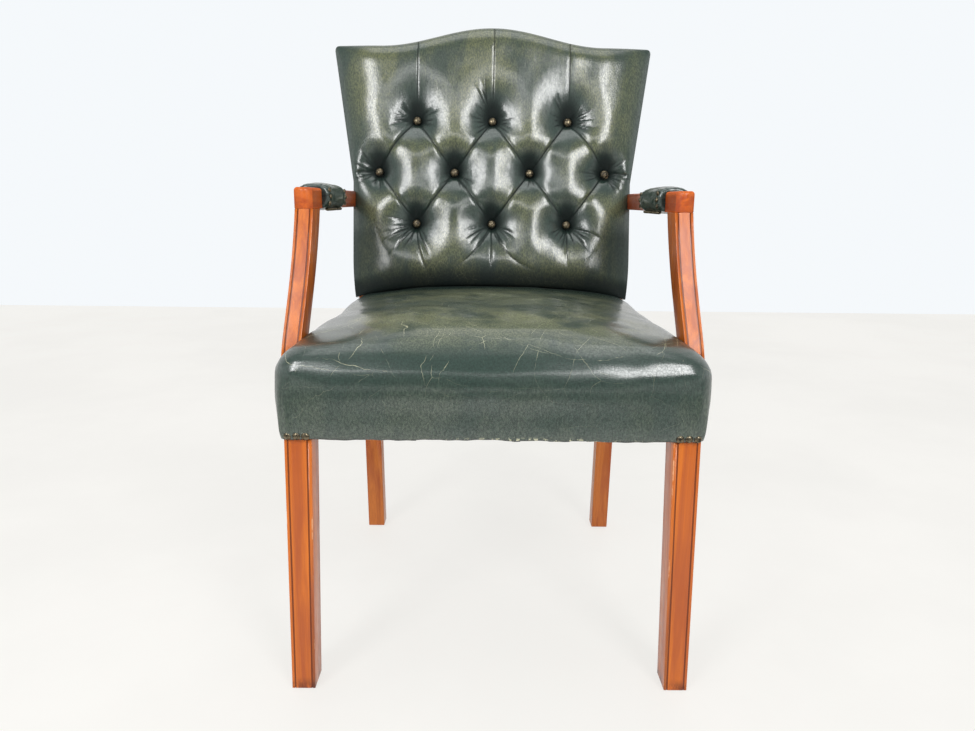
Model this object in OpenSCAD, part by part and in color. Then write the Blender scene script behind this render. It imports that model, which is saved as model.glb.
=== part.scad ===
// Tufted leather armchair, in millimetres.
// Sizes along the depth count from the front face of the front legs. Every
// sub-part is then moved so that the origin is on the floor, under the middle
// of the chair's box: X to the right as one faces it, Y to the back, Z up.

/* [Legs] */
// Outer face of a front leg from the middle, at the floor
leg_foot_x = 284.3; // [280:0.1:292]
// Outer face of a front leg from the middle, at the top
leg_top_x = 276.6; // [274:0.1:279]
// Width of a front leg at the floor
leg_foot_w = 33; // [30:0.5:35]
// Width of a front leg at the top
leg_top_w = 35.5; // [34:0.5:37]
// Depth of a front leg
leg_d = 41; // [38:0.5:43]
// Height of the glide under each leg
glide_h = 2; // [1.5:0.5:3]
// Radius of a glide
glide_r = 11; // [8:0.5:14]
// Distance of the bead line from the edge of the wood
bead_inset = 4.6; // [3.5:0.1:7]
// Radius of the scratched bead line
bead_r = 1; // [0.6:0.1:1.4]

/* [Back posts] */
// Outer face of a back post from the middle, below the seat
post_x = 257.5; // [256.5:0.1:258.5]
// Width of a back post
post_w = 33; // [31:0.5:35]
// Front face of a back post at the floor
post_foot_y = 544; // [530:1:560]
// Depth of a back post at the floor
post_foot_d = 35; // [32:0.5:38]
// Front face of a back post at the knee
knee_y = 504.1; // [504:0.1:506]
// Height of the knee
knee_z = 450; // [446:1:454]
// Thickness of a back post above the knee
post_t = 30; // [29:0.5:30]
// Rake of the back above the knee, in degrees
rake = 9.23; // [8.5:0.01:10]
// Height of the top of the back posts
post_top = 966; // [950:1:968]

/* [Seat] */
// Height of the underside of the seat rails
rail_bottom = 380; // [378:1:382]
// Height of the top of the seat rails
rail_top = 440; // [436:1:441]
// Thickness of a seat rail
rail_t = 26; // [22:1:28]
// Half width of the seat's leather at the front
seat_half_front = 287; // [285:0.5:289]
// Half width of the seat's leather at the back
seat_half_rear = 262; // [260.5:0.5:264]
// How far the leather swells ahead of the front legs
seat_swell = 12; // [9:0.5:15]
// Depth at which the seat's leather meets the back posts
seat_rear_y = 503.5; // [502:0.1:503.5]
// Height of the front edge of the seat
seat_edge_z = 500; // [496:1:502]
// Rise of the seat's crown over its edge
seat_crown = 28; // [22:1:30]
// Thickness of the leather and wadding over the seat's foam
seat_cover_t = 9; // [8:0.5:10]

/* [Back] */
// Half width of the back's leather at its waist
back_half = 269; // [268:0.5:270]
// Half width gained for each millimetre above the waist
back_flare = 0.142; // [0.12:0.001:0.15]
// Distance up the back at which the flare starts
flare_w = 276; // [260:1:290]
// Distance up the back of its flat shoulders
shoulder_w = 534; // [532:0.5:540]
// Rise of the top's middle over the shoulders
camel_rise = 35; // [28:0.5:40]
// Half width of the rise of the top
camel_half = 215; // [190:1:235]
// Front of the padding ahead of the posts, at the foot of the back
back_pad_low = 36.7; // [35:0.1:38]
// Loss of padding for each millimetre up the back
back_pad_taper = 0.015; // [0.01:0.001:0.018]
// Depth of the rounded edge of the padding
roll_depth = 20; // [17:0.5:21]
// Width of the rounded edge of the padding
roll_w = 34; // [28:1:40]

/* [Buttons] */
// Distance up the back of the middle row
button_row_w = 293.6; // [291:0.1:296]
// Distance between two rows, up the back
row_step = 98.3; // [96:0.1:100]
// Distance between two buttons of a row
button_step = 145; // [143:0.5:146]
// Radius of a button
button_r = 8; // [7:0.25:8.5]
// How deep a button is drawn into the padding
button_sink = 17.5; // [15:0.5:18]
// Depth of a folded pleat half way between two buttons
pleat_depth = 11; // [8:0.5:13]
// Width over which the leather rises from a pleat
pillow_w = 46; // [40:1:52]

/* [Arms] */
// Height of the underside of an arm rail
arm_z = 676; // [672:1:680]
// Height of an arm rail's section
arm_h = 30; // [28:0.5:31]
// Width of an arm rail and of an arm post
arm_w = 26; // [24:0.5:27]
// Middle of an arm rail from the middle of the chair, at its front end
arm_front_x = 270.4; // [268:0.1:272]
// Turn of an arm rail outwards to the back, in degrees
arm_turn = 0.928; // [0.8:0.001:1]
// Length of an arm rail
arm_len = 432; // [425:1:434]
// Front end of an arm rail, and front face of the arm post's top
arm_front_y = 134; // [132:0.5:136]
// Front face of an arm post's foot
arm_foot_y = 63; // [61:0.5:65]
// Depth of an arm post
arm_post_d = 46; // [42:0.5:46]
// Height of the bottom of an arm post
arm_foot_z = 393; // [388:1:398]
// Height at which an arm post leaves the upright
arm_bend_z = 470; // [460:1:476]
// Distance from an arm rail's front end to its pad
pad_start = 65; // [60:1:70]
// Length of an arm pad
pad_len = 146; // [130:1:160]
// Half width of an arm pad
pad_half = 26; // [24:0.5:27]
// Half height of an arm pad
pad_half_h = 19.75; // [19:0.25:20.5]

/* [Fasteners] */
// Radius of a dowel
dowel_r = 4; // [3:0.5:5]
// Length of a dowel in each of the two pieces that it joins
dowel_in = 16; // [12:1:16]
// Radius of a screw
screw_r = 2; // [1.5:0.25:2.5]
// Radius of a small bronze stud
stud_r = 5.5; // [4.5:0.25:6]
// Spacing of the studs round the outside back
stud_step = 25; // [22:1:32]

/* [Hidden] */
$fn = 32;

// Colours of the finishes
wood_color = [0.72, 0.33, 0.12];
inner_wood_color = [0.80, 0.66, 0.46];
leather_color = [0.09, 0.17, 0.12];
bronze_color = [0.42, 0.33, 0.20];
foam_color = [0.90, 0.86, 0.70];
jute_color = [0.62, 0.50, 0.33];
cloth_color = [0.10, 0.10, 0.10];
steel_color = [0.60, 0.60, 0.62];

// Clearances: a drilled hole round its dowel or screw, and one soft layer over the next
hole_gap = 0.05;
layer_gap = 0.1;
// Thickness of a strip of webbing, of the hessian and of the leather of the outside back
web_t = 1.2;
hessian_t = 0.8;
panel_t = 2.4;
// Height of the underside of the seat's leather, and of the foam over the hessian
cover_bottom = rail_bottom - 2;
bed_z = rail_top + 2 * web_t + hessian_t + 4 * layer_gap;

// Where the rear face of the back posts lies at the floor and at the top
post_top_y = knee_y + (post_top - knee_z) * tan(rake);
post_slice = post_t / cos(rake);

// The chair's box: the seat swells furthest forward, a stud of the outside back stands
// furthest back
stud_h = 3;
stud_margin = 11;
back_plane = post_t + 0.6 + panel_t;
rear_most_y = knee_y + (back_plane + stud_h) * cos(rake)
    + (shoulder_w + camel_rise - stud_margin) * sin(rake);
datum_y = (rear_most_y - seat_swell) / 2;

// Places a sub-part in the chair; the left one is the right one mirrored
module chair(side = 1) {
    mirror([side < 0 ? 1 : 0, 0, 0]) translate([0, -datum_y, 0]) children();
}

// The raked plane of the back: Y is the depth behind the posts' front face, Z runs up
// the back from the knee
module on_back() {
    translate([0, knee_y, knee_z]) rotate([-rake, 0, 0]) children();
}

// The line of the right arm rail: Y runs along it from its front end
module on_arm() {
    translate([arm_front_x, arm_front_y, 0]) rotate([0, 0, -arm_turn]) children();
}

// A flat outline in X and Z, made solid from y0 to y1
module front_shape(y0, y1) {
    translate([0, y1, 0]) rotate([90, 0, 0]) linear_extrude(y1 - y0) children();
}

// A flat outline in Y and Z, made solid from x0 to x1
module side_shape(x0, x1) {
    translate([x0, 0, 0]) rotate([90, 0, 90]) linear_extrude(x1 - x0) children();
}

// A round bar along X, Y or Z that starts at a point
module bar_x(p, r, l) { translate(p) rotate([0, 90, 0]) cylinder(r = r, h = l); }
module bar_y(p, r, l) { translate(p) rotate([-90, 0, 0]) cylinder(r = r, h = l); }
module bar_z(p, r, l) { translate(p) cylinder(r = r, h = l); }

// A point on a cubic curve between a and d
function curve(a, b, c, d, t) =
    a * pow(1 - t, 3) + 3 * b * t * pow(1 - t, 2) + 3 * c * t * t * (1 - t) + d * pow(t, 3);
// A value held between two limits
function held(v, low, high) = min(max(v, low), high);
// Distance from a point to the stretch between two others
function reach(p, a, b) =
    let (ab = b - a, t = held((p - a) * ab / (ab * ab), 0, 1)) norm(p - a - t * ab);
// How far along that stretch the nearest point lies, from 0 to 1
function along(p, a, b) = let (ab = b - a) held((p - a) * ab / (ab * ab), 0, 1);
// Fall of a quarter round: 1 at its foot, 0 from its width onwards
function round_fall(v) = let (u = held(v, 0, 1)) 1 - sqrt(1 - pow(1 - u, 2));

// The outline of the back. Distances w run up the raked plane of the back.
waist_w = 130;
waist_fall = 4;
waist_step = 70;
function back_w(w) = back_half + back_flare * max(0, w - flare_w)
    - waist_fall * pow(max(0, waist_w - w) / waist_step, 2);
function back_top(x) =
    shoulder_w + camel_rise * (1 + cos(180 * min(abs(x) / camel_half, 1))) / 2;
// The leather on a back post is this thick
wrap_t = 4.6;
function post_outer(z) = z <= knee_z ? post_x
    : max(post_x, back_w((z - knee_z + 2.4) / cos(rake)) - wrap_t);

// The seat's top. It rises from the front edge and falls to the sides.
seat_rise_y = 158;
seat_mid_y = 245;
function seat_half(y) = seat_half_front
    - (seat_half_front - seat_half_rear) * held(y / seat_rear_y, 0, 1);
function seat_across(x) = 1 - pow(min(abs(x) / seat_half_front, 1), 2.6);
function seat_along(y) = 1 - pow(max(0, seat_rise_y - y) / (seat_rise_y + seat_swell), 2);
function seat_top(x, y) = seat_edge_z + seat_crown * seat_across(x) * seat_along(y);
// The foot of the back's leather, just over the seat
function back_foot(x) = (seat_top(x, seat_rear_y) + 1.5 - knee_z - 5) / cos(rake);

// Outer face of a side rail, flush with the legs
side_rail_front_x = 277;
side_rail_rear_x = 257.3;
side_rail_rear_y = 509;
function rail_outer(y) = side_rail_front_x
    - (side_rail_front_x - side_rail_rear_x) * (y - leg_d) / (side_rail_rear_y - leg_d);

// Heights of the two dowels or screws of a seat rail's joint, and the depth of those
// in the front and rear rails
pin_z = [rail_bottom + 16, rail_top - 16];
front_pin_y = 15;
rear_pin_y = 523;
rail_front_y = 2;
rear_rail_y = 511;
rear_rail_t = 23;
leg_inner_x = leg_top_x - leg_top_w;
side_pin_x = [262, 246];
side_pin_y = [leg_d, 507.4];

// Legs and back posts

module leg_side() { square([leg_d, rail_top]); }

module leg_front() {
    polygon([[leg_foot_x - leg_foot_w, glide_h], [leg_foot_x, glide_h],
        [leg_top_x, rail_top], [leg_inner_x, rail_top], [leg_inner_x, rail_bottom - 2]]);
}

// One bead line, dx in from the outer face of the leg at the floor and at the top
module leg_bead(dx_foot, dx_top) {
    run = [leg_top_x - dx_top - leg_foot_x + dx_foot, rail_top];
    translate([leg_foot_x - dx_foot, -bead_r * 0.3, 0]) rotate([0, atan2(run[0], run[1]), 0])
        translate([0, 0, -5]) cylinder(r = bead_r, h = norm(run) + 10);
}

module front_leg(side) color(wood_color) chair(side) difference() {
    intersection() {
        front_shape(0, leg_d) leg_front();
        side_shape(200, 300) leg_side();
    }
    leg_bead(bead_inset, bead_inset);
    leg_bead(leg_foot_w - bead_inset, leg_top_w - bead_inset);
    rail_pins(hole_gap);
    glide_stems(hole_gap);
}

// Front and rear edge of a back post, with the knee rounded by a short curve
knee_round = 25;
module post_side() {
    front = [[post_foot_y, glide_h], [knee_y, knee_z], [post_top_y, post_top]];
    back = [[post_foot_y + post_foot_d, glide_h], [knee_y + post_slice, knee_z],
        [post_top_y + post_slice, post_top]];
    polygon(concat(knee(front), reverse(knee(back))));
}
function knee(p) = let (a = p[1] + (p[0] - p[1]) * knee_round / norm(p[0] - p[1]),
    b = p[1] + (p[2] - p[1]) * knee_round / norm(p[2] - p[1]))
    concat([p[0]], [for (t = [0:0.25:1]) curve(a, p[1], p[1], b, t)], [p[2]]);
function reverse(v) = [for (i = [len(v) - 1:-1:0]) v[i]];

module post_front() {
    heights = concat([glide_h, knee_z], [for (z = [knee_z + 20:20:post_top - 10]) z], [post_top]);
    polygon(concat([for (z = heights) [post_outer(z), z]],
        reverse([for (z = heights) [post_outer(z) - post_w, z]])));
}

module back_post(side) color(wood_color) chair(side) difference() {
    intersection() {
        front_shape(450, 700) post_front();
        side_shape(200, 320) post_side();
    }
    rail_pins(hole_gap);
    back_pins(hole_gap);
    arm_back_screw(hole_gap);
    glide_stems(hole_gap);
}

// Glides: a disc with a nail, under each leg
glide_stem_r = 1.5;
glide_stem_h = 15;
glide_places = [[leg_foot_x - leg_foot_w / 2, leg_d / 2],
    [post_x - post_w / 2, post_foot_y + post_foot_d / 2]];

module glide_stems(gap) {
    for (p = glide_places) bar_z([p[0], p[1], glide_h / 2], glide_stem_r + gap, glide_stem_h);
}

module leg_glides() color(steel_color) for (side = [-1, 1]) chair(side) {
    for (p = glide_places) bar_z([p[0], p[1], 0], glide_r, glide_h);
    glide_stems(0);
}

// Seat frame

// Dowels of the seat rails on the right side
module rail_pins(gap) {
    for (z = pin_z) {
        bar_x([leg_inner_x - dowel_in, front_pin_y, z], dowel_r + gap, 2 * dowel_in);
        bar_x([post_x - post_w - dowel_in, rear_pin_y, z], dowel_r + gap, 2 * dowel_in);
        for (i = [0, 1])
            bar_y([side_pin_x[i], side_pin_y[i] - dowel_in, z], dowel_r + gap, 2 * dowel_in);
    }
}

module rail_dowels() color(inner_wood_color) for (side = [-1, 1]) chair(side) rail_pins(0);

module both_sides() {
    children();
    mirror([1, 0, 0]) children();
}

module front_rail() color(inner_wood_color) chair() difference() {
    front_shape(rail_front_y, rail_front_y + rail_t) translate([-leg_inner_x, rail_bottom])
        square([2 * leg_inner_x, rail_top - rail_bottom]);
    both_sides() rail_pins(hole_gap);
    both_sides() block_screws(hole_gap);
}

module rear_rail() color(inner_wood_color) chair() difference() {
    front_shape(rear_rail_y, rear_rail_y + rear_rail_t)
        translate([post_w - post_x, rail_bottom])
        square([2 * (post_x - post_w), rail_top - rail_bottom]);
    both_sides() rail_pins(hole_gap);
    both_sides() block_screws(hole_gap);
}

module side_rail(side) color(inner_wood_color) chair(side) difference() {
    translate([0, 0, rail_bottom]) linear_extrude(rail_top - rail_bottom)
        polygon([[rail_outer(leg_d), leg_d], [rail_outer(540), 540],
            [rail_outer(540) - rail_t, 540], [rail_outer(leg_d) - rail_t, leg_d]]);
    side_shape(200, 320) post_side();
    translate([0, side_rail_rear_y + 4, 0]) cube([300, 50, rail_top + 1]);
    arm_housing();
    rail_pins(hole_gap);
    block_screws(hole_gap);
    arm_post_pins(hole_gap);
}

// Corner blocks, each fitted between two rails and a leg
block_z = rail_bottom + 7;
block_h = 40;
front_block = [[190, rail_front_y + rail_t], [leg_inner_x, rail_front_y + rail_t],
    [leg_inner_x, leg_d], [rail_outer(leg_d) - rail_t, leg_d], [rail_outer(78) - rail_t, 78]];
rear_block = [[172, rear_rail_y], [post_x - post_w, rear_rail_y], [post_x - post_w, 503.8],
    [rail_outer(503.8) - rail_t, 503.8], [rail_outer(452) - rail_t, 452]];

module corner_blocks() color(inner_wood_color) for (side = [-1, 1]) chair(side) difference() {
    union() {
        translate([0, 0, block_z]) linear_extrude(block_h) polygon(front_block);
        translate([0, 0, block_z]) linear_extrude(block_h) polygon(rear_block);
    }
    block_screws(hole_gap);
    rail_pins(hole_gap);
}

// Two screws in each corner block, one into each rail, with their heads sunk in its face
screw_head_r = 3.6;
screw_head_h = 2.5;
screw_len = 45;
short_screw_len = 38;
block_screw_z = block_z + block_h / 2;
module block_screws(gap) {
    wood_screw([212, 48, block_screw_z], [0, -1], gap, short_screw_len);
    wood_screw([226, 60, block_screw_z + 10], [1, 0], gap, screw_len);
    wood_screw([194, 488, block_screw_z], [0, 1], gap, short_screw_len);
    wood_screw([204, 478, block_screw_z + 10], [1, 0], gap, screw_len);
}

// A screw with a flat head that runs along X or Y
module wood_screw(p, way, gap, length) {
    translate(p) rotate([0, 0, atan2(way[1], way[0])]) rotate([0, 90, 0]) {
        cylinder(r = screw_r + gap, h = length);
        cylinder(r = screw_head_r + gap, h = screw_head_h);
    }
}

module corner_block_screws() color(steel_color) for (side = [-1, 1]) chair(side) block_screws(0);

// Webbing, hessian and dust cover of the seat

web_w = 50;
web_lift = rail_top + layer_gap;
module seat_webbing_lengthwise() color(jute_color) chair()
    for (x = [-180:90:180]) translate([x - web_w / 2, 8, web_lift])
        cube([web_w, 522, web_t]);

module seat_webbing_crosswise() color(jute_color) chair()
    for (y = [80:90:440]) let (half = rail_outer(y + web_w / 2) - 6.5)
        translate([-half, y - web_w / 2, web_lift + web_t + layer_gap])
            cube([2 * half, web_w, web_t]);

module seat_hessian() color(jute_color) chair()
    translate([0, 0, web_lift + 2 * web_t + 2 * layer_gap]) linear_extrude(hessian_t)
        polygon([[-266, 4], [266, 4], [250, 494], [-250, 494]]);

dust_t = 1;
module dust_outline() {
    polygon([[-232, 8], [232, 8], [232, 46], [264, 46], [248, 498], [220, 498], [220, 528],
        [-220, 528], [-220, 498], [-248, 498], [-264, 46], [-232, 46]]);
}

module dust_cover() color(cloth_color) chair()
    translate([0, 0, rail_bottom - layer_gap - dust_t]) linear_extrude(dust_t) dust_outline();

module dust_cover_staples() color(steel_color) chair() {
    z = rail_bottom - layer_gap - dust_t - 0.4;
    for (x = [-210:35:210], y = [14, 521]) translate([x - 5, y, z]) cube([10, 0.8, 0.4]);
    for (s = [-1, 1], y = [62:42:484])
        translate([s * (rail_outer(y) - 20) - 0.4, y, z]) cube([0.8, 10, 0.4]);
}

// Seat cushion. Its outline runs round the seat, and rings of it rise to the crown.

// Radius of the front corners: tight over the legs, soft at the crown
low_corner_r = 9;
corner_r = 26;
rear_corner_r = 8;
front_bow = 2;
function seat_front_y(x) = -seat_swell + front_bow * pow(abs(x) / seat_half_front, 2);

// The right half of the outline, from the middle of the front to the middle of the rear,
// with front corners of radius r
function half_outline(n, r) =
    let (xf = seat_half_front - r, yf = seat_front_y(xf), xr = seat_half_rear - rear_corner_r)
    concat(
        [for (i = [0:n[0] - 1]) let (x = xf * i / n[0]) [x, seat_front_y(x)]],
        [for (i = [0:n[1]]) let (a = 90 * i / n[1]) [xf + r * sin(a), yf + r * (1 - cos(a))]],
        [for (i = [1:n[2]]) let (y = yf + r + (seat_rear_y - rear_corner_r - yf - r) * i / n[2])
            [seat_half(y), y]],
        [for (i = [1:2]) let (a = 45 * i)
            [xr + rear_corner_r * cos(a), seat_rear_y - rear_corner_r * (1 - sin(a))]],
        [for (i = [1:n[3]]) [xr * (1 - i / n[3]), seat_rear_y]]);

// The whole outline. Its corners are tight at a softness of 0, and soft at 1.
function seat_outline(n, soft) =
    let (h = half_outline(n, low_corner_r + (corner_r - low_corner_r) * soft), m = len(h) - 1)
    concat(h, [for (i = [m - 1:-1:1]) [-h[i][0], h[i][1]]]);

// Moves an outline point inwards, by ix across and by iy along
function drawn_in(p, ix, iy) = [p[0] * (1 - ix / seat_half_front),
    seat_mid_y + (p[1] - seat_mid_y) * (1 - iy / (seat_mid_y + seat_swell))];

// Rings of a side wall: inset across, inset along, height, softness of the corners
cover_wall = [[3.5, 5.5, cover_bottom, 0], [1.4, 3.2, 398, 0.1], [0.3, 1, 425, 0.4],
    [0, 0, 452, 0.7], [0.8, 0.8, 472, 1], [4, 4, 487, 1]];
// Rings of the top: inset, and drop below the seat's crown
cover_crown = [[11, 4.5], [22, 1.5], [40, 0.3], [68, 0], [104, 0], [150, 0], [204, 0]];
foam_wall = [[9, 9, bed_z, 1], [9, 9, 470, 1], [12, 12, 482, 1]];
foam_crown = [[22, 6], [45, 1], [90, 0], [170, 0]];

function cushion_points(n, wall, crown, drop) = concat(
    [for (r = wall, p = seat_outline(n, r[3])) let (q = drawn_in(p, r[0], r[1])) [q[0], q[1], r[2]]],
    [for (r = crown, p = seat_outline(n, 1)) let (q = drawn_in(p, r[0], r[0]))
        [q[0], q[1], seat_top(q[0], q[1]) - r[1] - drop]],
    [[0, seat_mid_y, seat_top(0, seat_mid_y) - drop]]);

function cushion_faces(n, rings) = concat(
    [[for (i = [n - 1:-1:0]) n - 1 - i]],
    [for (k = [0:rings - 2], i = [0:n - 1], h = [0, 1]) let (a = k * n + i, b = k * n + (i + 1) % n)
        h == 0 ? [a, a + n, b] : [b, a + n, b + n]],
    [for (i = [0:n - 1]) [(rings - 1) * n + i, rings * n, (rings - 1) * n + (i + 1) % n]]);

module cushion(n, wall, crown, drop) {
    polyhedron(cushion_points(n, wall, crown, drop),
        cushion_faces(len(seat_outline(n, 1)), len(wall) + len(crown)));
}

module foam_block() { cushion([4, 3, 5, 4], foam_wall, foam_crown, seat_cover_t); }

// Where an arm post goes down beside the seat; above its bend it leans to the rear
pocket_gap = 0.4;
pocket_bend_z = 476;
module arm_pocket() {
    translate([arm_post_outer(pocket_bend_z) - arm_w - pocket_gap, arm_foot_y - pocket_gap,
        arm_foot_z - pocket_gap]) cube([60, arm_post_d + 2 * pocket_gap, pocket_bend_z - arm_foot_z]);
    translate([arm_post_outer(pocket_bend_z) - arm_w - 1.6, arm_foot_y - pocket_gap,
        pocket_bend_z - 1]) cube([60, arm_post_d + 9, 60]);
}

module seat_foam() color(foam_color) chair() difference() {
    foam_block();
    both_sides() arm_pocket();
}

// The space under the seat's leather for the rails, legs and posts
module frame_space() {
    wall = side_rail_front_x + 0.9;
    translate([0, 0, cover_bottom - 2]) linear_extrude(bed_z - cover_bottom + 2)
        polygon([[-wall, -0.4], [wall, -0.4], [wall, leg_d + 0.4],
            [rail_outer(leg_d) + 0.3, leg_d + 0.4], [rail_outer(510) + 0.3, 510],
            [-rail_outer(510) - 0.3, 510], [-rail_outer(leg_d) - 0.3, leg_d + 0.4],
            [-wall, leg_d + 0.4]]);
}

// The leather behind the seat, over the rear rail
apron_t = 2.7;
module rear_apron() {
    half = post_x - post_w - 0.6;
    y1 = rear_rail_y + rear_rail_t + 0.3;
    z1 = bed_z + layer_gap;
    translate([-half, seat_rear_y - 2, z1]) cube([2 * half, y1 + apron_t - seat_rear_y + 2, apron_t]);
    translate([-half, y1, cover_bottom]) cube([2 * half, apron_t, z1 + apron_t - cover_bottom]);
}

module seat_cover() color(leather_color) chair() {
    difference() {
        cushion([9, 5, 10, 7], cover_wall, cover_crown, 0);
        foam_block();
        frame_space();
        both_sides() arm_pocket();
    }
    rear_apron();
}

// A domed stud with its flat side at a point, facing along Y by default
module stud(r = stud_r, h = stud_h) {
    ball = (r * r + h * h) / (2 * h);
    intersection() {
        translate([0, ball - h, 0]) sphere(r = ball);
        translate([-r - 1, -h, -r - 1]) cube([2 * r + 2, h, 2 * r + 2]);
    }
}

// Studs of the seat: three on the front of each leg and one on its side
seat_stud_x = [247.9, 259.7, 271.6];
seat_stud_y = 24;
seat_stud_z = cover_bottom + 6;
module seat_studs(side) color(bronze_color) chair(side) {
    for (x = seat_stud_x) translate([x, seat_front_y(x) + 4.8, seat_stud_z]) stud();
    translate([seat_half(seat_stud_y) - 2.9, seat_stud_y, seat_stud_z]) rotate([0, 0, 90]) stud();
}

// Frame of the back

module crest_rail() color(inner_wood_color) chair() difference() {
    bottom = 486;
    inner = function(w) post_outer(w * cos(rake) + knee_z - 2.4) - post_w - 0.4;
    on_back() front_shape(0, 24) polygon(concat(
        [[-inner(bottom), bottom], [inner(bottom), bottom]],
        [for (i = [10:-1:-10]) let (x = inner(shoulder_w - 8) * i / 10) [x, back_top(x) - 8]]));
    both_sides() back_pins(hole_gap);
}

lower_rail_w = [4, 50];
module lower_back_rail() color(inner_wood_color) chair() difference() {
    half = post_x - post_w - 0.3;
    on_back() translate([-half, 0, lower_rail_w[0]])
        cube([2 * half, 24, lower_rail_w[1] - lower_rail_w[0]]);
    both_sides() back_pins(hole_gap);
}

// Dowels of the crest rail and of the lower back rail, on the right side
module back_pins(gap) {
    on_back() for (w = [15, 39]) bar_x([post_x - post_w - dowel_in, 12, w], dowel_r + gap, 2 * dowel_in);
    on_back() for (w = [498, 518])
        bar_x([post_outer(knee_z + w) - post_w - dowel_in, 12, w], dowel_r + gap, 2 * dowel_in - 6);
}

module back_rail_dowels() color(inner_wood_color) for (side = [-1, 1]) chair(side) back_pins(0);

// Layers on the front of the back's frame
back_web_w = [for (i = [-1:2]) button_row_w + (i - 0.5) * row_step];
back_web_x = [for (i = [-2.5:1:2.5]) i * button_step / 2];
// Foot and length of the back's upright webbing and hessian
bed_foot_w = 22;
bed_len = 500;
module back_webbing() color(jute_color) chair() on_back() {
    for (w = back_web_w) translate([-254, -layer_gap - web_t, w - 25]) cube([508, web_t, 50]);
    for (x = back_web_x)
        translate([x - 20, -2 * layer_gap - 2 * web_t, bed_foot_w]) cube([40, web_t, bed_len]);
}

hessian_y = -3 * layer_gap - 2 * web_t;
module back_hessian() color(jute_color) chair() difference() {
    on_back() front_shape(hessian_y - hessian_t, hessian_y)
        translate([-250, bed_foot_w]) square([500, bed_len]);
    on_back() for (b = buttons) bar_y([b[0], -40, b[1]], twine_r + hole_gap, 60);
}

// Buttons of the back: three rows, the middle one shifted by half a step
buttons = [for (r = [-1:1], i = [-1.5:0.5:1.5])
    if ((r == 0) != (i == floor(i)) && abs(i) < 1.6) [i * button_step, button_row_w + r * row_step]];
twine_r = 0.8;

// Pleats: two ends, depth at the middle, depth gained at the ends, width
function near(b) = [for (c = buttons)
    if (c[1] > b[1] && abs(abs(c[0] - b[0]) - button_step / 2) < 1 && c[1] - b[1] < row_step + 1) c];
pleats = concat(
    [for (b = buttons, c = near(b)) [b, c, pleat_depth, 5, pillow_w]],
    [for (b = buttons) if (b[1] > button_row_w + 1) [b, [b[0], 620], 3.5, 6, 26]],
    [for (b = buttons) if (abs(b[0]) > button_step * 1.4)
        [b, [b[0] * 1.5, b[1]], 4, 8, 26]],
    [for (b = buttons) if (b[1] < button_row_w - 1) [b, [b[0], 60], 2.5, 6, 30]]);

// Depth of the tufting under the smooth face of the padding
function pleat_at(p, s) = let (t = along(p, s[0], s[1]))
    (s[2] + s[3] * pow(s[4] == pillow_w ? 2 * t - 1 : 1 - t, 4)) * round_fall(reach(p, s[0], s[1]) / s[4]);
dimple_w = 62;
function dimple_at(p, b) = button_sink * pow(1 - held(norm(p - b) / dimple_w, 0, 1), 2);
function tuft(p) = max([for (s = pleats) pleat_at(p, s), for (b = buttons) dimple_at(p, b)]);

// Depth of the leather's face behind the posts' front plane; it is negative, in front
function roll(x, w) = let (a = 1 - held((back_w(w) - abs(x)) / roll_w, 0, 1),
    b = 1 - held((back_top(x) - w) / roll_w, 0, 1),
    c = 1 - held((w - back_foot(x)) / (roll_w / 2), 0, 1))
    roll_depth * (1 - sqrt(max(0, 1 - a * a - b * b - c * c)));
function back_face(x, w) = back_pad_taper * (w - 45) - back_pad_low
    + min(roll(x, w) + tuft([x, w]), roll_depth + 1);

// Columns and rows of the face. They pass through every button and pleat.
cols_in = [for (i = [-12:12]) i * button_step / 8];
edge_steps = [0.25, 0.5, 0.7, 0.86, 0.96, 1];
low_steps = [0, 0.06, 0.16, 0.4, 0.7];
high_steps = [0.2, 0.4, 0.6, 0.76, 0.88, 0.96, 1];
rows_in = [for (i = [-6:6]) button_row_w + i * row_step / 4];
col_n = len(cols_in) + 2 * len(edge_steps);
row_n = len(low_steps) + len(rows_in) + len(high_steps);
edge_x = cols_in[len(cols_in) - 1];

function col_x(j, w) = let (e = len(edge_steps), k = j < e ? e - 1 - j : j - e - len(cols_in))
    j >= e && j < e + len(cols_in) ? cols_in[j - e]
    : (j < e ? -1 : 1) * (edge_x + edge_steps[k] * (back_w(w) - edge_x));
function row_w(i, x) = i < len(low_steps)
    ? back_foot(x) + low_steps[i] * (rows_in[0] - back_foot(x))
    : i < len(low_steps) + len(rows_in) ? rows_in[i - len(low_steps)]
    : let (w0 = rows_in[len(rows_in) - 1])
        w0 + high_steps[i - len(low_steps) - len(rows_in)] * (back_top(x) - w0);

// A column's place depends a little on its height, and a row's on its place across
function face_point(i, j) = let (x0 = col_x(j, row_w(i, 200)), w = row_w(i, x0), x = col_x(j, w))
    [x, back_face(x, w), w];

// The same way round as seen from the front: foot, right side, top, left side
rim = concat([for (j = [0:col_n - 2]) j],
    [for (i = [0:row_n - 2]) i * col_n + col_n - 1],
    [for (j = [col_n - 1:-1:1]) (row_n - 1) * col_n + j],
    [for (i = [row_n - 1:-1:1]) i * col_n]);

// Each cell is cut along the pleat that crosses it, otherwise towards the middle
function cut_up(i, j) = let (c = j - len(edge_steps), r = i - len(low_steps) - 2,
    up = (((c - r) % 8) + 8) % 8 == 4, down = (((c + r + 1) % 8) + 8) % 8 == 4)
    up ? true : down ? false : j < col_n / 2;

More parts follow.
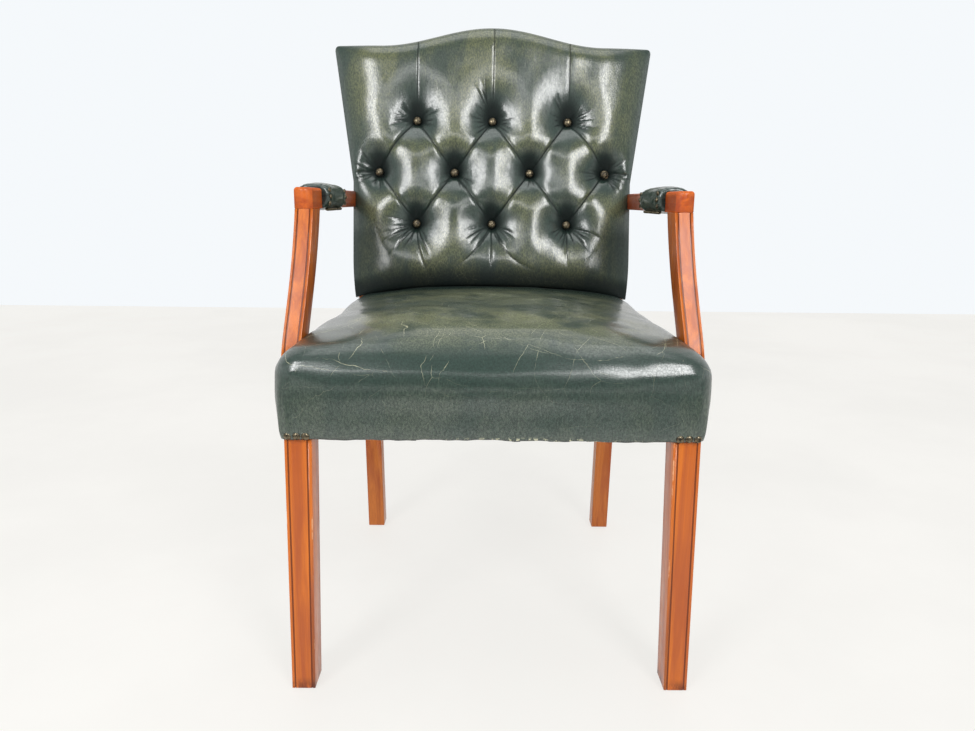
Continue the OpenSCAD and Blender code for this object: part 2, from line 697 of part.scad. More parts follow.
module back_body() {
    face = [for (i = [0:row_n - 1], j = [0:col_n - 1]) face_point(i, j)];
    n = len(face);
    m = len(rim);
    rear = [for (k = rim) [face[k][0], post_t + 0.4, face[k][2]]];
    polyhedron(concat(face, rear), concat(
        [for (i = [0:row_n - 2], j = [0:col_n - 2], h = [0, 1])
            let (a = i * col_n + j, b = a + 1, c = a + col_n, d = c + 1)
            cut_up(i, j) ? (h == 0 ? [a, c, d] : [a, d, b]) : (h == 0 ? [a, c, b] : [b, c, d])],
        [for (k = [0:m - 1], h = [0, 1]) let (a = rim[k], b = rim[(k + 1) % m])
            h == 0 ? [a, b, n + k] : [b, n + (k + 1) % m, n + k]],
        [[for (k = [0:m - 1]) n + k]]));
}

// The back's outline drawn in by a distance, as far as the foam or the frame fills it
module back_outline(inset) {
    w0 = back_foot(260) + inset;
    n = 12;
    right = [for (i = [0:n]) let (w = w0 + (shoulder_w - inset - w0) * i / n) [back_w(w) - inset, w]];
    over = [for (i = [n - 1:-1:1 - n]) let (x = (back_w(shoulder_w) - inset) * i / n)
        [x, back_top(x) - inset]];
    foot = [for (i = [-n + 1:n - 1]) let (x = (back_w(w0) - inset) * i / n) [x, back_foot(x) + inset]];
    polygon(concat(foot, right, over, reverse([for (p = right) [-p[0], p[1]]])));
}

foam_front = -12;
module back_foam() color(foam_color) chair() difference() {
    on_back() front_shape(foam_front + layer_gap, hessian_y - hessian_t - layer_gap)
        back_outline(wrap_t + 0.4);
    on_back() for (b = buttons) bar_y([b[0], -40, b[1]], 2 * twine_r, 60);
}

// Where the posts, webbing and hessian come up through the foot of the leather
module foot_opening() {
    half = back_w(60) - wrap_t + 0.2;
    front_shape(hessian_y - hessian_t - layer_gap, post_t + 10) translate([-half, 0])
        square([2 * half, 120]);
}

module back_cover() color(leather_color) chair() difference() {
    on_back() back_body();
    on_back() front_shape(foam_front, post_t + 10) back_outline(wrap_t - 0.4);
    on_back() foot_opening();
    on_back() for (b = buttons) {
        bar_y([b[0], -60, b[1]], button_r + 0.4, 60 + button_y(b) - 0.1);
        bar_y([b[0], -60, b[1]], shank_r + 0.2, 60);
    }
    both_sides() arm_rail_bar(0.3, 0);
}

// Buttons, each drawn in by a twine that ends in a toggle behind the hessian
shank_r = 2;
shank_h = 1.6;
function button_y(b) = back_pad_taper * (b[1] - 45) - back_pad_low + button_sink;
module back_buttons() color(bronze_color) chair() on_back() for (b = buttons)
    translate([b[0], button_y(b) - 0.2, b[1]]) {
        stud(button_r, 5);
        bar_y([0, 0, 0], shank_r, shank_h);
    }

toggle_r = 3;
module button_twines() color(jute_color) chair() on_back() for (b = buttons)
    bar_y([b[0], button_y(b) - 0.2 + shank_h, b[1]], twine_r,
        hessian_y + 0.1 - button_y(b) - shank_h + 0.2);

module twine_toggles() color(inner_wood_color) chair() on_back() for (b = buttons)
    bar_x([b[0] - 10, hessian_y + 0.1 + toggle_r, b[1]], toggle_r, 20);

// Outside back: a leather panel on the posts, with studs along its edge
panel_inset = 2;
panel_foot_w = 8;
module panel_outline() {
    foot_half = post_x - 1;
    n = 14;
    right = [for (i = [0:n]) let (w = panel_foot_w + (shoulder_w - panel_inset - panel_foot_w) * i / n)
        [max(foot_half, back_w(w) - panel_inset - 1), w]];
    over = [for (i = [n - 1:-1:1 - n]) let (x = (back_w(shoulder_w) - panel_inset - 1) * i / n)
        [x, back_top(x) - panel_inset]];
    polygon(concat(right, over, reverse([for (p = right) [-p[0], p[1]]])));
}

module outside_back() color(leather_color) chair() on_back()
    front_shape(post_t + 0.6, back_plane) panel_outline();

module outside_back_studs() color(bronze_color) chair() {
    side_n = floor((shoulder_w - 2 * stud_margin) / stud_step);
    across_n = 2 * floor(back_w(shoulder_w) / stud_step);
    foot_w = panel_foot_w + 8;
    on_back() {
        for (i = [0:side_n - 1]) let (w = foot_w + (shoulder_w - stud_margin - 2 - foot_w) * i / side_n)
            both_sides() translate([max(post_x - 1, back_w(w) - panel_inset - 1) - 9, back_plane, w])
                mirror([0, 1, 0]) stud();
        for (i = [0:across_n]) let (x = (back_w(shoulder_w) - 14) * (2 * i / across_n - 1))
            translate([x, back_plane, back_top(x) - stud_margin]) mirror([0, 1, 0]) stud();
        for (i = [1:across_n - 1]) let (x = (post_x - 10) * (2 * i / across_n - 1))
            translate([x, back_plane, foot_w]) mirror([0, 1, 0]) stud();
    }
}

// Arms

function arm_post_outer(z) = arm_front_x + arm_w / 2 + 0.0515 * (arm_z - z);

// Front edge of an arm post: upright at the foot, then bent back to the arm rail
arm_curve = [[arm_foot_y, arm_bend_z], [arm_foot_y - 3, arm_bend_z + 33],
    [arm_front_y - 14, arm_z - 108], [arm_front_y, arm_z]];
arm_edge = concat([[arm_foot_y, arm_foot_z]],
    [for (i = [0:16]) curve(arm_curve[0], arm_curve[1], arm_curve[2], arm_curve[3], i / 16)]);

// The side view of a band that follows the front edge, from dy0 to dy1 behind it
module arm_band(dy0, dy1) {
    polygon(concat([for (p = arm_edge) p + [dy0, 0]], reverse([for (p = arm_edge) p + [dy1, 0]])));
}

// The front view of a band that follows the outer face, from dx0 to dx1 inside it
module arm_strip(dx0, dx1) {
    polygon([[arm_post_outer(arm_foot_z) - dx1, arm_foot_z],
        [arm_post_outer(arm_foot_z) - dx0, arm_foot_z],
        [arm_post_outer(arm_z) - dx0, arm_z], [arm_post_outer(arm_z) - dx1, arm_z]]);
}

module arm_post_body() {
    intersection() {
        front_shape(40, 200) arm_strip(0, arm_w);
        side_shape(240, 310) arm_band(0, arm_post_d);
    }
}

module arm_bead(inset) {
    intersection() {
        front_shape(40, 200) arm_strip(inset - bead_r * 0.8, inset + bead_r * 0.8);
        side_shape(240, 310) arm_band(-1, bead_r * 0.8);
    }
}

module arm_post(side) color(wood_color) chair(side) difference() {
    arm_post_body();
    arm_bead(bead_inset);
    arm_bead(arm_w - bead_inset);
    arm_pins(hole_gap);
    arm_post_pins(hole_gap);
}

// A shallow housing for the arm post's foot in the side rail
module arm_housing() {
    translate([arm_post_outer(rail_top) - arm_w - 0.3, arm_foot_y - 0.3, arm_foot_z - 0.3])
        cube([60, arm_post_d + 0.6, 80]);
}

// Screws from inside the side rail into the arm post's foot
module arm_post_pins(gap) {
    for (z = [406, 428]) wood_screw([247, arm_foot_y + arm_post_d / 2, z], [1, 0], gap, screw_len);
}

module arm_post_screws() color(steel_color) for (side = [-1, 1]) chair(side) arm_post_pins(0);

// Dowels between an arm post and the arm rail
module arm_pins(gap) {
    on_arm() for (y = [12, 33]) bar_z([0, y, arm_z - 18], dowel_r + gap, 36);
}

module arm_dowels() color(inner_wood_color) for (side = [-1, 1]) chair(side) arm_pins(0);

// Section of an arm rail: the upper edges are rounded more than the lower ones
module arm_section(grow) {
    top_r = 5;
    low_r = 1.5;
    half = arm_w / 2 + grow;
    translate([-half, arm_z + low_r - grow]) square([2 * half, arm_h - low_r - top_r + 2 * grow]);
    translate([-half + top_r, arm_z + arm_h - top_r - 1]) square([2 * (half - top_r), top_r + 1 + grow]);
    translate([-half + low_r, arm_z - grow]) square([2 * (half - low_r), low_r + 1]);
    for (s = [-1, 1]) {
        translate([s * (half - top_r), arm_z + arm_h - top_r + grow]) circle(r = top_r);
        translate([s * (half - low_r), arm_z + low_r - grow]) circle(r = low_r);
    }
}

module arm_rail_bar(grow, y0) {
    on_arm() front_shape(y0 - grow, arm_len + grow) arm_section(grow);
}

// The flat at the rear of an arm rail that sits on the back post
arm_seat_x = 264.4;
module arm_rail(side) color(wood_color) chair(side) difference() {
    arm_rail_bar(0, 0);
    translate([arm_seat_x - 30, 524, arm_z - 1]) cube([30, 80, arm_h + 2]);
    arm_pins(hole_gap);
    arm_back_screw(hole_gap);
}

// Screws from the inside of the back post into the arm rail
module arm_back_screw(gap) {
    for (z = [684, 698]) wood_screw([arm_seat_x - post_w, 556, z], [1, 0], gap, screw_len);
}

module arm_back_screws() color(steel_color) for (side = [-1, 1]) chair(side) arm_back_screw(0);

// Arm pads: a foam core over the rail, and leather drawn over it

pad_mid_z = 693.6;
pad_n = 20;
function pad_round(v) = sign(v) * pow(abs(v), 0.76);
function pad_section(half, half_h) = [for (i = [0:pad_n - 1]) let (a = 360 * (i + 0.5) / pad_n)
    [half * pad_round(cos(a)), pad_mid_z + half_h * pad_round(sin(a))]];

// Rings along a pad: distance from its ends, and share of its full section
pad_rings = [[0, 0.80], [1.5, 0.89], [5, 0.955], [12, 0.99], [30, 1]];
pad_stations = concat([for (r = pad_rings) [pad_start + r[0], r[1]]],
    [[pad_start + pad_len / 2, 1.01]],
    reverse([for (r = pad_rings) [pad_start + pad_len - r[0], r[1]]]));

module pad_body() {
    rings = len(pad_stations);
    points = [for (s = pad_stations, p = pad_section(pad_half * s[1], pad_half_h * s[1]))
        [p[0], s[0], p[1]]];
    faces = concat([[for (i = [pad_n - 1:-1:0]) i]],
        [for (k = [0:rings - 2], i = [0:pad_n - 1], h = [0, 1])
            let (a = k * pad_n + i, b = k * pad_n + (i + 1) % pad_n)
            h == 0 ? [a, b, a + pad_n] : [b, b + pad_n, a + pad_n]],
        [[for (i = [0:pad_n - 1]) (rings - 1) * pad_n + i]]);
    polyhedron(points, faces);
}

pad_leather = 3.2;
module pad_core() {
    front_shape(pad_start + 4, pad_start + pad_len - 4)
        polygon(pad_section(pad_half - pad_leather - 1, pad_half_h - pad_leather));
}

module arm_pad_core(side) color(foam_color) chair(side) difference() {
    on_arm() pad_core();
    arm_rail_bar(layer_gap, 0);
}

module arm_pad(side) color(leather_color) chair(side) difference() {
    on_arm() pad_body();
    on_arm() pad_core();
    arm_rail_bar(layer_gap, 0);
}

// Studs up both sides of a pad's ends, and along its underside
pad_stud_r = 4;
pad_stud_h = 2.4;
module arm_pad_studs(side) color(bronze_color) chair(side) on_arm() {
    for (y = [pad_start + 7, pad_start + pad_len - 7], z = [684, 693.5, 703], s = [-1, 1])
        translate([s * (pad_half - (z == 693.5 ? 0.9 : 2.3)), y, z])
            rotate([0, 0, s * 90]) stud(pad_stud_r, pad_stud_h);
    for (i = [1:8], s = [-1, 1])
        translate([s * 17.4, pad_start + 7 + (pad_len - 14) * i / 9, pad_mid_z - pad_half_h + 0.6])
            rotate([90, 0, 0]) stud(pad_stud_r, pad_stud_h);
}

front_leg(-1);  // front_leg_left
front_leg(1);  // front_leg_right
back_post(-1);  // back_post_left
back_post(1);  // back_post_right
front_rail();
rear_rail();
side_rail(-1);  // side_rail_left
side_rail(1);  // side_rail_right
corner_blocks();
rail_dowels();
corner_block_screws();
leg_glides();
crest_rail();
lower_back_rail();
back_rail_dowels();
back_webbing();
back_hessian();
back_foam();
back_cover();
back_buttons();
button_twines();
twine_toggles();
outside_back();
outside_back_studs();
arm_post(-1);  // arm_post_left
arm_post(1);  // arm_post_right
arm_rail(-1);  // arm_rail_left
arm_rail(1);  // arm_rail_right
arm_dowels();
arm_post_screws();
arm_back_screws();
arm_pad_core(-1);  // arm_pad_core_left
arm_pad_core(1);  // arm_pad_core_right
arm_pad(-1);  // arm_pad_left
arm_pad(1);  // arm_pad_right
arm_pad_studs(-1);  // arm_pad_studs_left
arm_pad_studs(1);  // arm_pad_studs_right
seat_webbing_lengthwise();
seat_webbing_crosswise();
seat_hessian();
seat_foam();
seat_cover();
seat_studs(-1);  // seat_studs_left
seat_studs(1);  // seat_studs_right
dust_cover();
dust_cover_staples();
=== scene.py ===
import logging
import math
from dataclasses import dataclass, field
from enum import Enum
from itertools import product
from typing import Callable, Iterable, Sequence

import bmesh
import bpy
import numpy as np
from mathutils import Matrix, Vector


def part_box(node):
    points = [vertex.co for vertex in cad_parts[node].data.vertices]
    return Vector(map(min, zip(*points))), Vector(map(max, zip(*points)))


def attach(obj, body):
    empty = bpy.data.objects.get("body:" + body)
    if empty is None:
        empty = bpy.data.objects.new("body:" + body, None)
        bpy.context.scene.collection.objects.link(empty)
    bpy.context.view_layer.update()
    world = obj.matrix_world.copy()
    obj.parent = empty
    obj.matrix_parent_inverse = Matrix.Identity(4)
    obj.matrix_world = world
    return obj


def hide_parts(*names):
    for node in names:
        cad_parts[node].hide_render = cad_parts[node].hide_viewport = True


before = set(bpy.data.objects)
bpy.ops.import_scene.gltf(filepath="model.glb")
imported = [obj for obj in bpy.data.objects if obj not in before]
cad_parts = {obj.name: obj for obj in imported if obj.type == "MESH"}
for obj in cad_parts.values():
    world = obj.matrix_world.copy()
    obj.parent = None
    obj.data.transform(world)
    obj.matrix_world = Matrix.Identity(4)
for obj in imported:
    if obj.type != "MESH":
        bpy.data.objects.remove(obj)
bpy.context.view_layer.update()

LOG = logging.getLogger("armchair")
MM = 0.001
BODY = "root"
DOUBLED = 0.01 * MM
Array = np.ndarray
Colour = tuple[float, float, float, float]
Range = tuple[float, float]
Spot = tuple[float, float]
Piece = bpy.types.Object
Material = bpy.types.Material
Socket = bpy.types.NodeSocket
Tree = bpy.types.NodeTree
Feed = float | Sequence[float] | Socket


class Side(Enum):
    """The two sides of the chair. The value is the sign of X."""

    LEFT = -1
    RIGHT = 1

    def of(self, name: str) -> str:
        """The name of this side's piece, such as arm_post_left."""
        return f"{name}_{self.name.lower()}"


class Grain(Enum):
    """The way that the grain of a wooden piece runs."""

    UPRIGHT = "Z"
    FORE_AND_AFT = "Y"
    ACROSS = "X"


# Shaping


def smooth(value: Array | float, low: float, high: float) -> Array:
    """Eases from 0 at low to 1 at high."""
    t = np.clip((value - low) / (high - low), 0.0, 1.0)
    return t * t * (3.0 - 2.0 * t)


def bell(value: Array, width: float) -> Array:
    """Falls from 1 at 0 to about a third at the given width."""
    return np.exp(-((value / width) ** 2))


def through(at: Array, places: Sequence[float], values: Sequence[float]) -> Array:
    """A smooth line through values at places, read at other places.

    Args:
        at: Where to read the line.
        places: The places, rising.
        values: The value at each place.

    Returns:
        The line's value at each of at.
    """
    xs, ys = np.asarray(places, float), np.asarray(values, float)
    slopes = np.gradient(ys, xs)
    k = np.clip(np.searchsorted(xs, at, side="right") - 1, 0, len(xs) - 2)
    step = xs[k + 1] - xs[k]
    t = np.clip((at - xs[k]) / step, 0.0, 1.0)
    rise = t * t * (3 - 2 * t)
    start = step * slopes[k] * t * (1 - t) ** 2
    end = step * slopes[k + 1] * t * t * (t - 1)
    return ys[k] * (1 - rise) + ys[k + 1] * rise + start + end


def ripple(points: Array, wavelength: float, seed: int, waves: int = 9) -> Array:
    """A smooth random swell, from about -1 to 1.

    Args:
        points: Points, one a row.
        wavelength: The usual distance from crest to crest.
        seed: Fixes the random draw.
        waves: How many plane waves are added up.

    Returns:
        One value for each point.
    """
    draw = np.random.default_rng(seed)
    ways = draw.normal(size=(waves, points.shape[1]))
    ways /= np.linalg.norm(ways, axis=1, keepdims=True)
    turns = 2 * math.pi / (wavelength * draw.uniform(0.7, 1.4, waves))
    phases = draw.uniform(0, 2 * math.pi, waves)
    return np.sin(points @ (ways * turns[:, None]).T + phases).sum(1) / math.sqrt(waves)


@dataclass(frozen=True)
class Setting:
    """The lines that the pieces are set out from.

    Attributes:
        knee_y: Where the rear posts bend back.
        knee_z: Height of that bend.
        rake: Lean of the back, in degrees.
        arm_x: Middle of an arm rail's front end.
        arm_y: Front end of an arm rail.
        arm_turn: Turn of the arm rails towards the back, in degrees.
    """

    knee_y: float = 504.1
    knee_z: float = 450.0
    rake: float = 9.23
    arm_x: float = 270.4
    arm_y: float = 134.0
    arm_turn: float = 0.928

    @property
    def datum_y(self) -> float:
        """How far the front legs' front faces lie before the middle of the chair."""
        return -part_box("front_leg_right")[0].y / MM

    def metres(self, points: Array) -> Array:
        """Points of the drawing, as metres in the frame."""
        return (points - np.array([0.0, self.datum_y, 0.0])) * MM

    def drawing(self, points: Array) -> Array:
        """Points of the frame, as millimetres on the drawing."""
        return points / MM + np.array([0.0, self.datum_y, 0.0])

    def on_back(self, x: Array, depth: Array, up: Array) -> Array:
        """Points given by their place on the raked plane of the back.

        Args:
            x: Distance to the right.
            depth: Depth behind the front faces of the posts.
            up: Distance up the plane from the knee.

        Returns:
            The points on the drawing.
        """
        a = math.radians(self.rake)
        y = self.knee_y + depth * math.cos(a) + up * math.sin(a)
        z = self.knee_z - depth * math.sin(a) + up * math.cos(a)
        return np.stack(np.broadcast_arrays(x, y, z), -1).astype(float)

    def on_arm(self, side: Side, x: Array, y: Array, z: Array) -> Array:
        """Points given by their place on the line of an arm rail.

        Args:
            side: The side of the chair.
            x: Distance outwards from the line.
            y: Distance along it from the front end of the rail.
            z: Height.

        Returns:
            The points on the drawing.
        """
        a = math.radians(self.arm_turn)
        px = self.arm_x + x * math.cos(a) + y * math.sin(a)
        py = self.arm_y - x * math.sin(a) + y * math.cos(a)
        return np.stack(np.broadcast_arrays(side.value * px, py, z), -1).astype(float)


SETTING = Setting()


# Meshes


def new_piece(name: str, points: Array, faces: Iterable[Sequence[int]]) -> Piece:
    """Makes a piece from points on the drawing.

    Args:
        name: The piece's name.
        points: Its points, one a row.
        faces: Point numbers of each face.

    Returns:
        The new object, smooth shaded, at the origin.
    """
    mesh = bpy.data.meshes.new(name)
    mesh.from_pydata(SETTING.metres(points).tolist(), [], [list(map(int, f)) for f in faces])
    mesh.update()
    shade_smooth(mesh)
    piece = bpy.data.objects.new(name, mesh)
    bpy.context.scene.collection.objects.link(piece)
    return piece


def copy_of(node: str, name: str) -> Piece:
    """Copies a node of the frame.

    Args:
        node: The CAD node.
        name: The copy's name.

    Returns:
        The copy, with a mesh of its own.
    """
    piece = bpy.data.objects.new(name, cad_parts[node].data.copy())
    bpy.context.scene.collection.objects.link(piece)
    return piece


def rows_of(items: bpy.types.bpy_prop_collection, name: str) -> Array:
    """Reads a vector from every item of a mesh.

    Args:
        items: The items, such as the mesh's vertices.
        name: The vector's name, such as co.

    Returns:
        The vectors, one a row.
    """
    flat = np.empty(len(items) * 3, np.float32)
    items.foreach_get(name, flat)
    return flat.reshape(-1, 3).astype(float)


def points_of(piece: Piece) -> Array:
    """A piece's points, in the frame, one a row."""
    return rows_of(piece.data.vertices, "co")


def move_points(piece: Piece, points: Array) -> None:
    """Gives a piece's points new places in the frame."""
    piece.data.vertices.foreach_set("co", points.astype(np.float32).ravel())
    piece.data.update()


def write_value(piece: Piece, name: str, values: Array) -> None:
    """Stores one number for each point, for the piece's material to read."""
    layer = piece.data.attributes.new(name, "FLOAT", "POINT")
    layer.data.foreach_set("value", np.asarray(values, np.float32))


def shade_smooth(mesh: bpy.types.Mesh) -> None:
    """Shades a mesh smooth."""
    mesh.polygons.foreach_set("use_smooth", np.ones(len(mesh.polygons), bool))


def bake_modifiers(piece: Piece) -> None:
    """Makes the result of a piece's modifiers its own mesh, and removes them.

    Args:
        piece: The piece.
    """
    graph = bpy.context.evaluated_depsgraph_get()
    graph.update()
    mesh = bpy.data.meshes.new_from_object(piece.evaluated_get(graph))
    old = piece.data
    piece.modifiers.clear()
    piece.data = mesh
    bpy.data.meshes.remove(old)


def refine(piece: Piece) -> None:
    """Splits each face of a piece in four and rounds the result.

    Args:
        piece: The piece.
    """
    finer = piece.modifiers.new("finer", "SUBSURF")
    finer.levels = finer.render_levels = 1
    bake_modifiers(piece)


def face_out(piece: Piece, merge: bool = True) -> None:
    """Turns the faces of a closed piece outwards.

    Args:
        piece: The piece.
        merge: Whether doubled points are merged first.
    """
    work = bmesh.new()
    work.from_mesh(piece.data)
    if merge:
        bmesh.ops.remove_doubles(work, verts=work.verts, dist=DOUBLED)
    bmesh.ops.recalc_face_normals(work, faces=work.faces)
    work.to_mesh(piece.data)
    work.free()
    piece.data.update()


def grid_faces(rows: int, columns: int, start: int = 0, around: bool = False) -> list[tuple]:
    """Four-sided faces over rows of points.

    Args:
        rows: Number of rows.
        columns: Points in a row.
        start: Number of the first point.
        around: Whether each row closes on itself.

    Returns:
        The point numbers of each face.
    """
    span = columns if around else columns - 1
    return [
        (start + r * columns + c, start + r * columns + (c + 1) % columns,
         start + (r + 1) * columns + (c + 1) % columns, start + (r + 1) * columns + c)
        for r in range(rows - 1) for c in range(span)
    ]


def rim_of(rows: int, columns: int) -> Array:
    """Numbers of the points round the edge of rows of points.

    Args:
        rows: Number of rows.
        columns: Points in a row.

    Returns:
        The numbers in turn, each once.
    """
    number = np.arange(rows * columns).reshape(rows, columns)
    return np.concatenate([number[0, :-1], number[:-1, -1], number[-1, :0:-1], number[:0:-1, 0]])


def own(piece: Piece, material: Material,
        nodes: Sequence[str] = ()) -> Piece:
    """Dresses a piece and fixes it to the chair.

    Args:
        piece: The piece.
        material: Its finish.
        nodes: CAD nodes that it stands for.

    Returns:
        The same piece.
    """
    piece.data.materials.clear()
    piece.data.materials.append(material)
    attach(piece, BODY)
    if nodes:
        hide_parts(*nodes)
    LOG.info("%s: %d faces", piece.name, len(piece.data.polygons))
    return piece


@dataclass(frozen=True)
class Swelling:
    """Cloth that fills out over its padding.

    Attributes:
        pressure: Pressure of the padding.
        shrink: Share by which the cloth shrinks; below 0 it has slack that wrinkles.
        cap: The furthest that a point may move.
        stiffness: Resistance to stretch.
        shear_share: Resistance to shear, as a share of the stiffness.
        bending: Resistance to bending.
        mass: Mass of each point.
        quality: How finely each step is solved.
        frames: Steps of the simulation.
        levels: How many strengths of holding the points have.
        even: How often the moves are averaged over neighbouring points.
    """

    pressure: float = 4.0
    shrink: float = 0.0
    cap: float = 8.0
    stiffness: float = 15.0
    shear_share: float = 1 / 3
    bending: float = 0.5
    mass: float = 0.3
    quality: int = 5
    frames: int = 20
    levels: int = 20
    even: int = 0

    def moves(self, piece: Piece, pinned: Array) -> Array:
        """Simulates the cloth of a piece.

        Args:
            piece: The piece; its mesh is left as it was.
            pinned: How firmly each point is held, from 0 to 1.

        Returns:
            How far each point moves, in metres.
        """
        group = piece.vertex_groups.new(name="pinned")
        held = np.round(np.clip(pinned, 0, 1) * self.levels).astype(int)
        for level in range(1, self.levels + 1):
            members = np.flatnonzero(held == level).tolist()
            if members:
                group.add(members, level / self.levels, "REPLACE")
        cloth = piece.modifiers.new("swelling", "CLOTH")
        settings = cloth.settings
        settings.quality = self.quality
        settings.mass = self.mass
        settings.tension_stiffness = settings.compression_stiffness = self.stiffness
        settings.shear_stiffness = self.stiffness * self.shear_share
        settings.bending_stiffness = self.bending
        settings.vertex_group_mass = group.name
        settings.shrink_min = self.shrink
        settings.use_pressure = True
        settings.uniform_pressure_force = self.pressure
        settings.effector_weights.gravity = 0
        cloth.collision_settings.use_collision = False
        cloth.point_cache.frame_start = 1
        cloth.point_cache.frame_end = self.frames
        scene = bpy.context.scene
        for step in range(1, self.frames + 1):
            scene.frame_set(step)
        graph = bpy.context.evaluated_depsgraph_get()
        shaped = piece.evaluated_get(graph)
        moved = rows_of(shaped.to_mesh().vertices, "co") - points_of(piece)
        shaped.to_mesh_clear()
        piece.modifiers.remove(cloth)
        piece.vertex_groups.remove(group)
        scene.frame_set(1)
        length = np.linalg.norm(moved, axis=1, keepdims=True)
        return self.evened(piece, moved * np.minimum(1.0, self.cap * MM / np.maximum(length, 1e-9)))

    def evened(self, piece: Piece, moves: Array) -> Array:
        """Averages each point's move with its neighbours' moves, which takes out single pits.

        Args:
            piece: The piece that the moves belong to.
            moves: How far each point moves.

        Returns:
            The averaged moves.
        """
        ends = np.empty(len(piece.data.edges) * 2, np.int32)
        piece.data.edges.foreach_get("vertices", ends)
        ends = ends.reshape(-1, 2)
        count = np.maximum(np.bincount(ends.ravel(), minlength=len(moves)), 1)[:, None]
        for _ in range(self.even):
            total = np.zeros_like(moves)
            np.add.at(total, ends[:, 0], moves[ends[:, 1]])
            np.add.at(total, ends[:, 1], moves[ends[:, 0]])
            moves = (moves + total / count) / 2
        return moves


# Node trees


class Sheet:
    """A node tree that is being drawn."""

    def __init__(self, tree: Tree) -> None:
        """Starts on a tree."""
        self.tree = tree

    def add(self, kind: str, inputs: dict | None = None, **settings: object) -> bpy.types.Node:
        """Adds a node.

        Args:
            kind: The node's type.
            inputs: What each input is given: a value, or the socket that feeds it.
            **settings: Properties of the node, set before its inputs.

        Returns:
            The new node.
        """
        node = self.tree.nodes.new(kind)
        for key, value in settings.items():
            setattr(node, key, value)
        for key, value in (inputs or {}).items():
            self.feed(node.inputs[key], value)
        return node

    def feed(self, socket: Socket, value: Feed) -> None:
        """Links a socket to an input, or sets the input's value.

        Args:
            socket: The input.
            value: Its value, or the socket that feeds it.
        """
        if isinstance(value, Socket):
            self.tree.links.new(value, socket)
        else:
            socket.default_value = value

    def math(self, operation: str, a: Feed, b: Feed = 0.0, clamp: bool = False) -> Socket:
        """The result of a sum on one or two values."""
        return self.add("ShaderNodeMath", {0: a, 1: b}, operation=operation, use_clamp=clamp).outputs[0]

    def times(self, a: Feed, b: Feed, clamp: bool = False) -> Socket:
        """The product of two values."""
        return self.math("MULTIPLY", a, b, clamp)

    def fit(self, value: Feed, low: float, high: float, to_low: float = 0.0,
            to_high: float = 1.0) -> Socket:
        """A value taken from one range to another, smoothly, and held inside it."""
        inputs = {"Value": value, "From Min": low, "From Max": high, "To Min": to_low, "To Max": to_high}
        return self.add("ShaderNodeMapRange", inputs, interpolation_type="SMOOTHSTEP").outputs[0]

    def scaled(self, share: Feed, to_low: float, to_high: float) -> Socket:
        """A share from 0 to 1, taken to another range."""
        return self.fit(share, 0.0, 1.0, to_low, to_high)

    def blend(self, share: Feed, a: Feed, b: Feed, way: str = "MIX") -> Socket:
        """Two colours mixed; the share is the second one's."""
        return self.add("ShaderNodeMix", {0: share, 6: a, 7: b}, data_type="RGBA", blend_type=way).outputs[2]

    def noise(self, place: Feed, scale: float, detail: float = 3.0, rough: float = 0.55,
              bend: float = 0.0) -> Socket:
        """A noise value around 0.5."""
        inputs = {"Vector": place, "Scale": scale, "Detail": detail, "Roughness": rough, "Distortion": bend}
        return self.add("ShaderNodeTexNoise", inputs).outputs[0]

    def stretch(self, place: Feed, scale: Sequence[float], turn: Sequence[float] = (0, 0, 0),
                shift: Sequence[float] = (0, 0, 0)) -> Socket:
        """Coordinates scaled, turned (degrees) and shifted."""
        inputs = {"Vector": place, "Scale": scale, "Rotation": [math.radians(t) for t in turn],
                  "Location": shift}
        return self.add("ShaderNodeMapping", inputs).outputs[0]

    def axes(self, vector: Feed) -> bpy.types.NodeOutputs:
        """The three numbers of a vector."""
        return self.add("ShaderNodeSeparateXYZ", {0: vector}).outputs

    def value(self, name: str) -> Socket:
        """A number that the piece's mesh holds."""
        return self.add("ShaderNodeAttribute", attribute_name=name).outputs["Fac"]

    def place(self) -> Socket:
        """Object coordinates."""
        return self.add("ShaderNodeTexCoord").outputs["Object"]

    def bump(self, surface: bpy.types.Node, height: Feed, strength: float, deep: float) -> None:
        """Gives a surface a fine relief, some millimetres deep."""
        inputs = {"Height": height, "Strength": strength, "Distance": deep * MM}
        self.feed(surface.inputs["Normal"], self.add("ShaderNodeBump", inputs).outputs[0])


def group_of(name: str, kind: str, inputs: dict,
             outputs: dict) -> tuple[Tree, Sheet, dict, bpy.types.Node]:
    """Starts a node group.

    Args:
        name: The group's name.
        kind: ShaderNodeTree or GeometryNodeTree.
        inputs: Socket type and default value by input name.
        outputs: Socket type by output name.

    Returns:
        The tree, a sheet to draw on, the input sockets by name, and the output node.
    """
    tree = bpy.data.node_groups.new(name, kind)
    for label, (socket_type, value) in inputs.items():
        socket = tree.interface.new_socket(name=label, in_out="INPUT", socket_type=socket_type)
        if value is not None:
            socket.default_value = value
    for label, socket_type in outputs.items():
        tree.interface.new_socket(name=label, in_out="OUTPUT", socket_type=socket_type)
    sheet = Sheet(tree)
    entry = sheet.add("NodeGroupInput")
    given = {label: entry.outputs[label] for label in inputs}
    return tree, sheet, given, sheet.add("NodeGroupOutput")


NUMBER = "NodeSocketFloat"
PLACE = "NodeSocketVector"
GEOMETRY = "NodeSocketGeometry"


class BuiltOnce:
    """A node group that is drawn on its first use."""

    tree: Tree | None = None

    @classmethod
    def get(cls) -> Tree:
        """Gives the group.

        Returns:
            The group, the same one each time.
        """
        if cls.tree is None:
            cls.tree = cls.build()
        return cls.tree

    @staticmethod
    def build() -> Tree:
        """Draws the group, in each class that follows."""
        raise NotImplementedError


